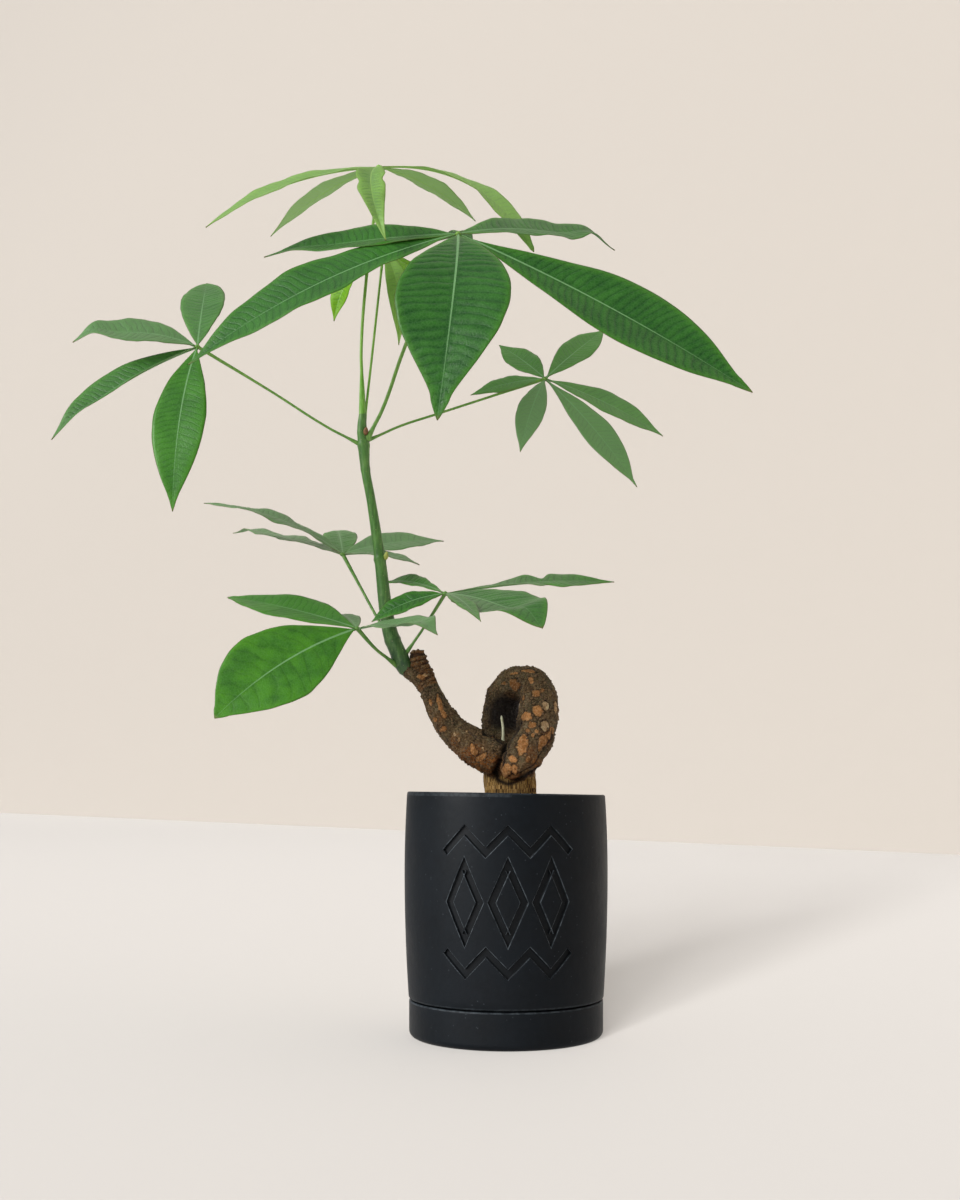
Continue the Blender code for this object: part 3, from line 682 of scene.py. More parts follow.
def potFaceTones(face):
    x, y, height = face.center / mm
    depth = potRadius(height) - math.hypot(x, y)
    onRim = height > pot["top"] - 1.0
    onSeam = abs(height - saucer["top"] - saucer["seam"] - 0.6) < 0.6
    # The rim and the seam get a pale line, partly wear and partly painted highlight
    if onRim or onSeam:
        return ceramicLook["rimWearAndHighlight"], 0
    if y > 0 or depth > band["depth"] + 0.4 or not band["lowest"] <= height <= band["highest"]:
        return 0, 0
    if depth > band["edge"]:
        return 0, 1
    outward = Vector((x, y, 0)).normalized().dot(face.normal)
    return (1, 0) if outward < 0.95 else (0, 0)


def saucerFaceTones(face):
    x, y, height = face.center / mm
    # The saucer's lip gets a pale line, partly wear and partly painted highlight
    onLip = height > saucer["top"] - 1.2 and math.hypot(x, y) > saucer["radius"] - 1.5
    return (ceramicLook["lipWearAndHighlight"] if onLip else 0), 0


def buildPot(ceramic):
    shoulder = saucer["top"] + saucer["seam"]
    rim, wall, foot, bevel = pot["rimRound"], pot["wall"], pot["footRadius"], pot["footRound"]
    drain, edge = pot["drainRadius"], pot["drainEdge"]
    bottom, floor, corner = pot["floorBottom"], pot["floorTop"], pot["floorCorner"]
    topRadius = potRadius(pot["top"])
    throat = foot - wall
    profile = arc((topRadius - wall + rim, pot["top"] - rim), rim, 178, 90, 5)
    profile += arc((topRadius - rim, pot["top"] - rim), rim, 90, 8, 5)
    profile += [(potRadius(height), height)
                for height in np.linspace(pot["top"] - 2 * rim, shoulder + rim, pot["rings"])]
    profile += arc((potRadius(shoulder) - rim, shoulder + rim), rim, -15, -90, 4)
    profile += [(foot, shoulder), (foot, bottom + bevel)]
    profile += arc((foot - bevel, bottom + bevel), bevel, -20, -90, 4)
    profile += [(drain + edge, bottom), (drain, bottom + edge), (drain, floor - edge), (drain + edge, floor)]
    profile += arc((throat - corner, floor + corner), corner, -90, 0, 5)
    profile += [(throat, shoulder + bevel)]
    profile += [(potRadius(height) - wall, height)
                for height in np.linspace(shoulder + pot["flare"], pot["top"] - 2 * rim, pot["innerRings"])]
    body = turned("pot", profile, pot["turns"], closed=True)
    points = coordinates(body.data)
    sloped = smoothStep(points[:, 2], pot["slopeFrom"] * mm, pot["top"] * mm)
    points[:, 2] += pot["rimSlope"] * sloped * (pot["slopeMiddle"] * mm - points[:, 0] / pot["bellyRadius"])
    setCoordinates(body.data, points)
    body = cut(body, bandCutters(), "potCeramic")
    markFaceTones(body, potFaceTones)
    wear(body, ceramic, "ceramic", "pot")


def buildSaucer(ceramic):
    radius, lip, top, corner = saucer["radius"], saucer["lipRound"], saucer["top"], saucer["corner"]
    floor, fillet = saucer["floor"], saucer["fillet"]
    inside = radius - saucer["wall"]
    profile = [(0, floor), (inside - fillet, floor)]
    profile += arc((inside - fillet, floor + fillet), fillet, -75, 0, 4)
    profile += arc((inside + lip, top - lip), lip, 180, 90, 4)
    profile += arc((radius - lip, top - lip), lip, 90, 0, 4)
    profile += [(radius, height) for height in np.linspace(top - 2 * lip, corner + 0.5, saucer["rings"])]
    profile += arc((radius - corner, corner), corner, 0, -90, 8)
    profile.append((0, 0))
    dish = turned("saucerCeramic", profile, pot["turns"])
    markFaceTones(dish, saucerFaceTones)
    wear(dish, ceramic, "ceramic", "saucer")


blackCeramic = ceramicMaterial()
buildPot(blackCeramic)
buildSaucer(blackCeramic)
hang("strip", lights["strip"], ("potCeramic", "saucerCeramic"), "INCLUDE")
print("pot and saucer made")


# Trunk: places along the middle of the wood in mm, each with the wood's radius there

trunk = dict(
    loop=[((2.5, 0, 92), 11), ((2.5, 0, 118), 15), ((2.8, 0, 140), 16.3), ((2.5, 0, 156), 16),
          ((0.5, 6, 174), 13.5), ((-2.8, 13, 194), 11.8), ((0, 10, 211), 10.4), ((11, 0, 217.5), 9.8),
          ((19, -9, 210), 11), ((19.5, -14, 198), 12), ((16.5, -19, 184), 12.2), ((11, -24, 173), 12),
          ((6.5, -27.5, 166), 11), ((3.5, -28.5, 160), 8.5), ((2, -28.5, 156.5), 4)],
    arm=[((6, -11, 171), 9), ((-7, -11, 171), 11.5), ((-21, -9, 178), 10.8), ((-35.5, -5, 191), 8.3),
         ((-45, -2, 208), 6.8), ((-50.0, 0, 219), 6.3), ((-53.4, 0, 228), 5.7), ((-54.4, 0, 232.5), 5.3),
         ((-54.9, 0, 234.8), 4.3), ((-55.2, 0, 236.2), 2.4)],
    collar=[((-49.5, 0, 217), 5.0), ((-53.5, -0.8, 219.5), 5.4), ((-58.0, -1.2, 222.0), 4.6),
            ((-61.5, -1.0, 224.2), 3.6), ((-63.6, -0.8, 225.8), 2.2)],
    sides=40, steps=8, voxel=0.6, knobs=0.9, knobSpacing=11, plainBelow=144, fibreTop=161)
# Clefts as seen from the front, sunk in and darkened with painted shade: places (x, z), half width and depth,
# all in mm
clefts = [
    dict(line=[(7.6, 191.6), (5.2, 187.0), (1.6, 181.0), (-0.9, 176.2), (-2.2, 171.3), (-4.5, 165.9),
               (-7.2, 160.5)], width=1.3, depth=2.0),
    dict(line=[(-3.6, 168.0), (-5.6, 163.0), (-6.8, 159.5)], width=2.2, depth=2.6),
    dict(line=[(-14.0, 185.4), (-7.0, 183.4), (-2.8, 179.0)], width=0.9, depth=0.8),
    dict(line=[(-8.1, 159.4), (-5.1, 156.4), (1.0, 154.2), (5.2, 155.4), (13.7, 159.8), (18.5, 163.2)],
         width=1.5, depth=1.3),
    dict(line=[(27.6, 187.5), (25.8, 181.0), (22.1, 175.0), (19.0, 170.0), (16.1, 165.9), (13.7, 163.9),
               (7.6, 160.8)], width=0.45, depth=0.5)]
# The shaded inside of the loop: its middle and reach in mm, and where its shade fades
hollow = dict(middle=(0.0, 6, 198), reach=(13.5, 16, 16.5), fade=(0.55, 1.15), dimming=0.4)
# Places where the bark has flaked: (x, z), half sizes in mm, turn in degrees, and how pale the patch is
flakes = [
    ((3.4, 214.6), (4.2, 4.4), 20, 0.12), ((14.9, 216.7), (1.3, 2.6), 20, 0.5),
    ((17.6, 208.5), (2.6, 2.3), 0, 0.3), ((23.3, 201.0), (1.9, 3.0), 8, 0.95),
    ((18.5, 197.6), (3.2, 3.7), 30, 0.55), ((11.9, 194.6), (3.4, 2.8), 0, 0.48),
    ((22.7, 189.2), (2.7, 3.4), -8, 0.9), ((15.2, 189.4), (2.4, 2.0), 30, 0.35),
    ((12.2, 185.9), (1.5, 1.2), 0, 0.4), ((17.3, 185.2), (1.2, 1.5), 0, 0.6),
    ((9.4, 178.2), (3.2, 6.0), -14, 0.48), ((20.9, 179.2), (2.5, 5.0), -22, 0.4),
    ((13.8, 190.6), (1.0, 1.0), 0, 0.6), ((25.3, 183.0), (1.3, 2.6), -16, 0.45),
    ((15.4, 183.0), (1.0, 1.3), 0, 0.4), ((3.4, 169.0), (2.8, 2.0), -20, 0.55),
    ((-0.9, 162.3), (3.0, 4.2), -8, 0.45), ((4.5, 162.7), (2.0, 2.7), 10, 0.42),
    ((29.5, 199.8), (1.0, 3.8), 0, 0.75), ((27.2, 186.3), (1.5, 2.2), -20, 0.5),
    ((13.7, 223.0), (4.4, 1.1), -6, 0.4), ((5.0, 222.0), (2.2, 0.9), 10, 0.5),
    ((9.8, 206.5), (1.3, 1.6), 0, 0.2), ((21.5, 210.5), (1.3, 1.0), 30, 0.2),
    ((8.2, 172.2), (1.6, 1.2), 0, 0.3), ((12.4, 168.8), (1.5, 2.0), -30, 0.3),
    ((-1.5, 216.0), (1.4, 1.0), 0, 0.2), ((-8.7, 166.4), (4.6, 2.5), 22, 0.45),
    ((-15.2, 170.3), (4.0, 1.9), 35, 0.42), ((-20.5, 175.5), (1.4, 3.6), 18, 0.5),
    ((-19.0, 172.8), (2.2, 1.6), 0, 0.35), ((-40.6, 203.0), (1.6, 5.5), 12, 0.42),
    ((-37.8, 196.5), (1.6, 2.6), 14, 0.35), ((-43.6, 193.5), (1.3, 1.9), 20, 0.35),
    ((-38.3, 187.6), (2.4, 1.7), 30, 0.25), ((-46.3, 204.2), (1.0, 2.2), 12, 0.4),
    ((-49.4, 221.0), (1.5, 1.2), 0, 0.75), ((-52.0, 219.8), (2.6, 1.7), -20, 0.35),
    ((-31.5, 184.5), (0.8, 1.2), 0, 0.85), ((-28.9, 181.0), (0.9, 1.4), 0, 0.8),
    ((-24.0, 186.5), (0.8, 0.6), 0, 0.8), ((-14.2, 175.6), (0.6, 0.9), 0, 0.8)]
# More of them where the front doesn't show, half sizes in mm
sideFlakes = dict(count=60, smallest=1.4, largest=4.2, seed=12)
# Loose chips of bark, in metres
chips = dict(Spacing=0.0019, Smallest=0.00025, Largest=0.0011, Flatness=0.55, Sink=0.00005, Detail=1, Seed=5)
# Heights of the wood's relief in mm; the lumps also have their width in mm and their noise's number. The
# furrows' and strands' grain says how closely they lie round the limb and along it.
woodRelief = dict(
    furrows=-0.50, furrowGrain=(2.2, 2.2, 0.7), lumps=((0.75, 4.2, 2), (0.55, 1.9, 4)), strands=0.75,
    strandGrain=(4.5, 4.5, 0.35), ringHeight=0.4, ringGap=3.1, stubFrom=74, plate=0.12, moat=-0.30,
    footUpTo=75)
# Sizes in mm and contrasts of the bark's blotches
barkBlotches = dict(
    blotch=(7.0, 0.55), olive=(12.0, 0.6), faded=(4.5, 0.55), patchy=(5.0, 0.6), dots=(1.5, 0.6),
    grit=(1.1, 0.5))
barkPaint = dict(
    dark="38260f", light="664e31", olive="58573f", faded="84765a", pits="20140a", rustDark="6a3b18",
    rustLight="a66a33", dots="1c1006", grit="a98c62", lines="1c1108", shade="0e0705")
flakePaint = dict(
    dark="7d5129", middle="b47e4a", pale="cdb990", patches="7a4e26", dots="5c3a1a", grit="cbb083",
    ring="180e06")
strawPaint = dict(dark="34200d", middle="ab8448", pale="d2ad70")


# For each place of a path: its distance along it, its direction, and two directions across
def framesAlong(places):
    steps = np.diff(places, axis=0)
    lengths = np.concatenate([[0], np.cumsum(np.linalg.norm(steps, axis=1))])
    directions = normalised(np.gradient(places, axis=0))
    across = [normalised(np.cross(directions[0], (0.0, 1.0, 0.3)))]
    for direction in directions[1:]:
        last = across[-1]
        across.append(normalised(last - direction * last.dot(direction)))
    across = np.array(across)
    return lengths, across, np.cross(directions, across)


# For points on the wood: the angle round the nearest limb, the distance along it in metres, and its number
def grainOf(points, paths):
    best = np.full(len(points), np.inf)
    angle, along = np.zeros(len(points)), np.zeros(len(points))
    limb = np.zeros(len(points), int)
    for number, (places, radii) in enumerate(paths):
        lengths, across, other = framesAlong(places)
        gaps = np.linalg.norm(points[:, None, :] - places[None, :, :], axis=2) / radii[None, :]
        nearest = gaps.argmin(axis=1)
        closer = gaps.min(axis=1) < best
        offset = points - places[nearest]
        turn = np.arctan2((offset * other[nearest]).sum(1), (offset * across[nearest]).sum(1))
        best = np.where(closer, gaps.min(axis=1), best)
        angle, along = np.where(closer, turn, angle), np.where(closer, lengths[nearest], along)
        limb = np.where(closer, number, limb)
    return angle, along, limb


# One ragged many-sided patch as seen from the front: below 1 inside it, above 1 outside
def frontPatch(points, facing, flake, corners):
    (x, z), halfSizes, turn, paleness = flake
    cos, sin = math.cos(math.radians(turn)), math.sin(math.radians(turn))
    dx, dz = points[:, 0] / mm - x, points[:, 2] / mm - z
    across = (dx * cos + dz * sin) / halfSizes[0]
    up = (dz * cos - dx * sin) / halfSizes[1]
    sides = np.radians(np.arange(0, 360, 60) + corners.uniform(-20, 20, 6))
    reach = corners.uniform(0.78, 1.05, 6)
    plate = np.max((across[:, None] * np.cos(sides) + up[:, None] * np.sin(sides)) / reach, axis=1)
    gap = 0.6 * plate + 0.4 * np.hypot(across, up)
    near = np.where(facing & (gap < 1.6), points[:, 1], np.inf).min()
    shown = facing & (points[:, 1] < near + 2.2 * max(halfSizes) * mm)  # only the nearest wood there
    return np.where(shown, gap, 9.0), paleness


# How far each point lies inside a flaked patch and in the dark ring round it, and the patch's paleness
def flakeMask(points, normals):
    mask, ring, tone = np.zeros(len(points)), np.zeros(len(points)), np.full(len(points), 0.5)
    ragged = 0.30 * noiseAt(points, 2.4 * mm, 3) + 0.16 * noiseAt(points, 1.1 * mm, 9) - 0.10
    facing = normals[:, 1] < 0.15
    corners = np.random.default_rng(sideFlakes["seed"] + 1)
    patches = [frontPatch(points, facing, flake, corners) for flake in flakes]
    draw = np.random.default_rng(sideFlakes["seed"])
    hidden = np.flatnonzero((normals[:, 1] > 0.1) & (points[:, 2] > trunk["fibreTop"] * mm))
    for spot in points[draw.choice(hidden, sideFlakes["count"], replace=False)]:
        size = draw.uniform(sideFlakes["smallest"], sideFlakes["largest"]) * mm
        stretch = np.array((1, 1, draw.uniform(0.6, 1.0)))
        patches.append((np.linalg.norm((points - spot) * stretch, axis=1) / size, draw.uniform(0.2, 0.9)))
    for gap, paleness in patches:
        inside = 1 - smoothStep(gap + ragged, 0.84, 0.96)
        tone = np.where(inside > mask, paleness, tone)
        mask = np.maximum(mask, inside)
        ring = np.maximum(ring, np.exp(-((gap + ragged - 1.06) / 0.11) ** 2))
    return mask, ring * (1 - mask), tone


# Shade and depth in mm of the clefts that the front shows
def cleftMask(points, normals):
    shade, depth = np.zeros(len(points)), np.zeros(len(points))
    flat = points[:, [0, 2]] / mm
    front = smoothStep(-normals[:, 1], -0.35, 0.1) * (points[:, 1] < -6 * mm)
    for cleft in clefts:
        line = np.array(cleft["line"], float)
        gap = np.full(len(points), np.inf)
        for start, end in zip(line, line[1:]):
            share = np.clip(((flat - start) @ (end - start)) / ((end - start) @ (end - start)), 0, 1)
            gap = np.minimum(gap, np.linalg.norm(flat - start - share[:, None] * (end - start), axis=1))
        near = np.exp(-(gap / cleft["width"]) ** 2) * front
        shade, depth = np.maximum(shade, near), np.maximum(depth, near * cleft["depth"])
    return shade, depth


# Olive-brown granular bark with rusty sides, flaked tan patches in dark rings, straw fibres at the foot, and
# painted shade in the loop's inside, the clefts and the stub's ring grooves
def barkMaterial():
    made, tree, shader, where = newMaterial("money tree bark", 0.7, 0.2)
    along = attribute(tree, "grain", "Vector")
    lines = useGroup(tree, streaks, Grain=along, Fineness=7.0, Stretch=1.6)["Mask"]
    fibres = useGroup(tree, streaks, Grain=along, Fineness=15.0, Stretch=3.0)["Mask"]
    kinds = ("blotch", "olive", "faded", "patchy", "dots", "grit")
    blotch, olive, faded, patchy, dots, grit = (blotches(tree, where, *barkBlotches[kind]) for kind in kinds)

    look = barkPaint
    bark = blendColours(tree, blotch, paint(look["dark"]), paint(look["light"]))
    bark = tint(tree, bark, olive, look["olive"], 0.5)
    bark = tint(tree, bark, span(tree, faded, 0.55, 1.0, 0.0, 0.6), look["faded"])
    bark = tint(tree, bark, span(tree, faded, 0.0, 0.4, 0.75, 0.0), look["pits"])
    rusty = blendColours(tree, blotch, paint(look["rustDark"]), paint(look["rustLight"]))
    rust = times(tree, attribute(tree, "rust"), span(tree, patchy, 0.0, 1.0, 0.35, 1.0))
    bark = blendColours(tree, rust, bark, rusty)
    bark = tint(tree, bark, span(tree, dots, 0.0, 0.45, 0.6, 0.0), look["dots"])
    bark = tint(tree, bark, span(tree, grit, 0.6, 0.95, 0.0, 0.5), look["grit"])
    bark = tint(tree, bark, span(tree, lines, 0.0, 0.4, 0.45, 0.0), look["lines"])

    look = flakePaint
    tone = attribute(tree, "flakeTone")
    bare = blendColours(tree, span(tree, tone, 0.1, 0.55), paint(look["dark"]), paint(look["middle"]))
    bare = tint(tree, bare, span(tree, tone, 0.55, 0.95), look["pale"])
    bare = tint(tree, bare, span(tree, patchy, 0.2, 0.7, 0.6, 0.0), look["patches"])
    bare = tint(tree, bare, span(tree, dots, 0.1, 0.6, 0.5, 0.0), look["dots"])
    bare = tint(tree, bare, span(tree, grit, 0.6, 0.95, 0.0, 0.4), look["grit"])
    colour = blendColours(tree, attribute(tree, "flake"), bark, bare)
    colour = tint(tree, colour, attribute(tree, "ring"), look["ring"], 0.95)

    look = strawPaint
    straw = blendColours(tree, span(tree, fibres, 0.1, 0.6), paint(look["dark"]), paint(look["middle"]))
    straw = tint(tree, straw, span(tree, fibres, 0.6, 1.0, 0.0, 0.8), look["pale"])
    colour = blendColours(tree, attribute(tree, "fibre"), colour, straw)
    # Painted shade over the loop's inside, the clefts and the stub's ring grooves
    colour = tint(tree, colour, attribute(tree, "shade"), barkPaint["shade"])
    plug(tree, shader.inputs["Base Color"], colour)
    plug(tree, shader.inputs["Roughness"], span(tree, dots, 0.0, 1.0, 0.85, 0.58))
    height = maths(tree, "ADD", fineGrain(tree, where, 0.8), times(tree, dots, 0.9))
    relief(tree, shader, maths(tree, "ADD", height, times(tree, lines, 0.8)), 0.0005)
    return made


# The limbs as tubes, grown together into one skin
def plainTrunk(bark):
    tubes, paths = [], []
    for part in ("loop", "arm", "collar"):
        places, radii = pathThrough(trunk[part], trunk["steps"])
        paths.append((places, radii))
        tubes.append(sweep(part, places, radii, trunk["sides"], bark))
    wood = fuse("trunk", tubes)
    remesh = wood.modifiers.new("Grow together", "REMESH")
    remesh.mode = "VOXEL"
    remesh.voxel_size = trunk["voxel"] * mm
    soften = wood.modifiers.new("Soften", "SMOOTH")
    soften.factor, soften.iterations = 0.5, 4
    return plainMesh(wood, "trunkWood"), paths


def buildTrunk(bark):
    wood, paths = plainTrunk(bark)
    mesh = wood.data
    points = coordinates(mesh)
    normals = np.array([vertex.normal for vertex in mesh.vertices])
    angle, along, limb = grainOf(points, paths)
    around = np.stack([np.cos(angle) * 2.0, np.sin(angle) * 2.0, along / (9 * mm) + limb * 40], axis=1)
    height = points[:, 2] / mm
    fibreTop = trunk["fibreTop"]
    fibre = 1 - smoothStep(height + 2.5 * noiseAt(points, 3 * mm, 5), fibreTop - 3, fibreTop)
    fibre = np.where((limb == 0) & (along < woodRelief["footUpTo"] * mm), fibre, 0.0)
    mask, ring, tone = flakeMask(points, normals)
    shade, depth = cleftMask(points, normals)

    bare = smoothStep(height, trunk["plainBelow"] - 2, trunk["plainBelow"] + 2)
    knobs = trunk["knobs"] * noiseAt(points, trunk["knobSpacing"] * mm)
    furrows = woodRelief["furrows"] * np.abs(noiseAt(around * woodRelief["furrowGrain"], 1.0, 1))
    lumps = sum(rise * noiseAt(points, size * mm, seed) for rise, size, seed in woodRelief["lumps"])
    strands = 0.4 - np.abs(noiseAt(around * woodRelief["strandGrain"], 1.0, 6)) * 2
    stub = (limb == 1) & (along > woodRelief["stubFrom"] * mm)
    wander = 1.3 * noiseAt(points, 5 * mm, 8)
    waves = np.sin(along / (woodRelief["ringGap"] * mm) * 2 * math.pi + wander)
    rings = np.where(stub, woodRelief["ringHeight"] * waves, 0.0)
    rise = knobs * bare + (furrows + lumps + rings) * (1 - 0.7 * mask) * (1 - fibre)
    rise = rise + woodRelief["plate"] * mask + woodRelief["moat"] * ring - depth
    rise = rise + woodRelief["strands"] * strands * fibre
    setCoordinates(mesh, points + normals * (rise * mm)[:, None])

    # Painted shade: the loop's inside, the clefts and the grooves between the stub's rings are darkened
    middle, reach = np.array(hollow["middle"]) * mm, np.array(hollow["reach"]) * mm
    deep = 1 - smoothStep(np.linalg.norm((points - middle) / reach, axis=1), *hollow["fade"])
    deep = deep * smoothStep(points[:, 1] / mm + 0.35 * np.abs(points[:, 0]) / mm, -7, 0)
    shade = np.maximum(shade, np.where(stub, 0.75 * smoothStep(-waves, 0.3, 1.0), 0.0))
    dark = np.clip(np.maximum(deep * (1 - hollow["dimming"] * mask), shade), 0, 0.95)
    lowSide = 0.75 * noiseAt(points, 9 * mm, 7) - 0.6 * normals[:, 2] + (196 - height) / 55
    rust = np.maximum(smoothStep(lowSide, 0.05, 0.9), np.where(stub, 0.6, 0))
    addValues(mesh, "grain", around, "FLOAT_VECTOR")
    marks = dict(flake=mask, ring=ring, flakeTone=tone, fibre=fibre, rust=rust, shade=dark)
    for name, values in marks.items():
        addValues(mesh, name, values)
    mesh.shade_smooth()
    rough = (height > fibreTop) & (dark < 0.2) & (mask < 0.3)
    markBed(mesh, [rough[face.vertices[0]] for face in mesh.polygons])
    chipBark = crumbMaterial("bark chips", "2c1e12", "765c3c", 0.8)
    bed = linkObject("bed", mesh.copy())
    flecks = runTree(bed, scatterLumps, "bark_chips", Aligned=1.0, Material=chipBark, **chips)
    wear(wood, bark, "bark", "trunk")
    wear(flecks, chipBark, "bark")
    print("trunk has", len(wood.data.polygons), "faces and its chips", len(flecks.data.polygons))


# Green shoot

# The line and the foot have places and radii in mm, and the nodes the height and swelling of each joint
shoot = dict(
    line=[((-63.5, 0.3, 228.5), 5.3), ((-66.8, 0, 236), 5.0), ((-70.5, 0, 245), 4.8), ((-73, 0, 256), 4.3),
          ((-77.7, 1, 293), 3.5), ((-83.3, 2, 330), 2.8), ((-86.8, 3, 349), 2.8), ((-88, 4, 364), 3.7),
          ((-89, 4, 376), 2.9), ((-88.6, 4, 384), 2.2)],
    foot=[((-60.3, 0.5, 221.8), 2.6), ((-61.5, 0.5, 224.3), 4.6)], tip=((-88.5, 4, 390), 1.2),
    nodes=[(233, 0.4), (243, 0.35), (293, 0.45), (349, 0.25), (364, 0.3), (372, 0.2)], nodeWidth=1.5,
    sides=32, steps=16, step=0.9, budLean=(0.15, -0.3, 1),
    buds=[((-73.6, -2.8, 294.6), 1.5, 2.6, "yellow"), ((-86.4, 0.8, 372), 1.6, 2.6, "brown")])
# Pale pores on the shoot, in metres
lenticels = dict(
    Spacing=0.0034, Smallest=0.00014, Largest=0.00034, Flatness=0.35, Sink=-0.00002, Detail=1, Seed=4)
sprout = dict(foot=(-2, -9, 180.5), top=(-3, -9.5, 196), radius=0.9, bend=0.5, sides=12, steps=8)
# Rinds from the lowest to the highest, a pale one for patches, and the heights in metres where they change
stems = dict(
    shoot=dict(low="12351a", middle="3d6c26", high="4a7836", pale="6f9650", heights=(0.225, 0.30, 0.38)),
    young=dict(low="4c8a24", middle="5f9a2c", high="76a83a", pale="9dc46a", heights=(0.22, 0.38, 0.45)),
    grown=dict(low="3f6f26", middle="4f8430", high="6f9a3a", pale="8fae5e", heights=(0.22, 0.33, 0.5)))

rindLook = dict(
    roughness=0.42, specular=0.35, contrast=0.45, paleShare=0.4, stretch=(1.0, 1.0, 0.12), lineSize=1.1,
    darkLines=0.4, paleLines=0.3, reliefDepth=0.0002)


def shootPath():
    places, radii = pathThrough([*shoot["foot"], *shoot["line"], shoot["tip"]], shoot["steps"])
    lengths = framesAlong(places)[0]
    even = np.arange(0, lengths[-1], shoot["step"] * mm)
    places = np.stack([np.interp(even, lengths, places[:, axis]) for axis in range(3)], axis=1)
    radii = np.interp(even, lengths, radii)
    for height, swelling in shoot["nodes"]:
        radii = radii + swelling * mm * np.exp(-((places[:, 2] / mm - height) / shoot["nodeWidth"]) ** 2)
    return places, radii


# Smooth green rind, lighter up the plant, with faint lengthwise lines and pale patches
def stemMaterial(name, rind, size):
    look = rindLook
    made, tree, shader, where = newMaterial(name, look["roughness"], look["specular"])
    first, second, third = rind["heights"]
    height = addNode(tree, "ShaderNodeSeparateXYZ", {0: where}).outputs[2]
    colour = blendColours(tree, span(tree, height, first, second), paint(rind["low"]), paint(rind["middle"]))
    colour = tint(tree, colour, span(tree, height, second, third), rind["high"])
    patches = blotches(tree, where, size, look["contrast"])
    colour = tint(tree, colour, patches, rind["pale"], look["paleShare"])
    stretched = addNode(tree, "ShaderNodeMapping", {"Vector": where, "Scale": look["stretch"]}).outputs[0]
    lines = fineGrain(tree, stretched, look["lineSize"])
    colour = tint(tree, colour, span(tree, lines, 0.35, 0.6, look["darkLines"], 0.0), rind["low"])
    colour = tint(tree, colour, span(tree, lines, 0.55, 0.75, 0.0, look["paleLines"]), rind["pale"])
    plug(tree, shader.inputs["Base Color"], colour)
    relief(tree, shader, lines, look["reliefDepth"])
    return made


# The two paints of the sprout and the buds, their blotches and grain in mm, and the grain's depth in metres
dryLooks = dict(
    sprout=dict(name="dry sprout", dark="a7a77f", light="d6d6bd", roughness=0.7, blotch=2.4, contrast=0.4,
                grainSize=0.5, depth=0.0001),
    yellow=dict(name="young bud", dark="7f8f3a", light="b3b25c", roughness=0.6, blotch=1.6, contrast=0.5,
                grainSize=0.5, depth=0.0002),
    brown=dict(name="dry bud", dark="5d3a24", light="8a6238", roughness=0.6, blotch=1.6, contrast=0.5,
               grainSize=0.5, depth=0.0002))


def dryMaterial(name, dark, light, roughness, blotch, contrast, grainSize, depth):
    made, tree, shader, where = newMaterial(name, roughness)
    cloud = blotches(tree, where, blotch, contrast)
    plug(tree, shader.inputs["Base Color"], blendColours(tree, cloud, paint(dark), paint(light)))
    relief(tree, shader, fineGrain(tree, where, grainSize), depth)
    return made


# Soil, crumbs and chips: two paints, mixed by blotches and by each lump's own tone
def crumbMaterial(name, dark, light, roughness=0.95):
    made, tree, shader, where = newMaterial(name, roughness)
    cloud = blotches(tree, where, 4.0, 0.4)
    share = times(tree, maths(tree, "ADD", cloud, attribute(tree, "tone")), 0.5)
    plug(tree, shader.inputs["Base Color"], blendColours(tree, share, paint(dark), paint(light)))
    relief(tree, shader, fineGrain(tree, where, 0.8), 0.0004)
    return made


# A small egg-shaped lump, longer along its lean
def egg(name, place, radius, length, lean=(0, 0, 1)):
    body = bmesh.new()
    bmesh.ops.create_icosphere(body, subdivisions=3, radius=radius * mm)
    for vertex in body.verts:
        vertex.co.z *= length / radius
        vertex.co.xy *= 1 - 0.35 * max(0, vertex.co.z / (length * mm))
    obj = meshObject(body, name)
    obj.data.transform(Vector(lean).to_track_quat("Z", "Y").to_matrix().to_4x4())
    obj.data.transform(Matrix.Translation(Vector(place) * mm))
    obj.data.shade_smooth()
    return obj


def buildShoot(stem, scales):
    places, radii = shootPath()
    green = fuse("greenStem", [sweep("shoot", places, radii, shoot["sides"], stem)])
    green.data.shade_smooth()
    markBed(green.data, [True] * len(green.data.polygons))
    pores = crumbMaterial("lenticels", "5f6a3a", "a39a6b", 0.7)
    bed = linkObject("bed", green.data.copy())
    dots = runTree(bed, scatterLumps, "stem_lenticels", Aligned=1.0, Material=pores, **lenticels)
    wear(green, stem, "green_stem", "green_stem")
    wear(dots, pores, "green_stem")
    for place, radius, length, kind in shoot["buds"]:
        wear(egg(f"bud_{kind}", place, radius, length, shoot["budLean"]), scales[kind], "green_stem")


def buildSprout(straw):
    foot, top, radius = np.array(sprout["foot"]), np.array(sprout["top"]), sprout["radius"]
    middle = (foot + top) / 2 + np.array((sprout["bend"], 0, 0))
    line = [(foot, radius * 1.1), (middle, radius * 0.85), (top - (top - middle) * 0.2, radius * 0.8),
            (top, radius * 0.3)]
    stalk = sweep("drySprout", *pathThrough(line, sprout["steps"]), sprout["sides"], straw)
    wear(stalk, straw, "straw", "dry_sprout")


dry = {kind: dryMaterial(**look) for kind, look in dryLooks.items()}
buildTrunk(barkMaterial())
buildShoot(stemMaterial("green shoot", stems["shoot"], 7.0), dry)
buildSprout(dry["sprout"])
print("trunk, shoot and sprout made")


# Soil

# The lumps have their width and height in mm
soil = dict(
    top=136, mound=3, clearance=0.7, underside=0.3, rings=34, sideRings=8, turns=120,
    lumps=((9, 1.2), (3.5, 0.7), (1.4, 0.35)), hole=((2.5, 0, 91.5), 11), holeSlack=0.1)
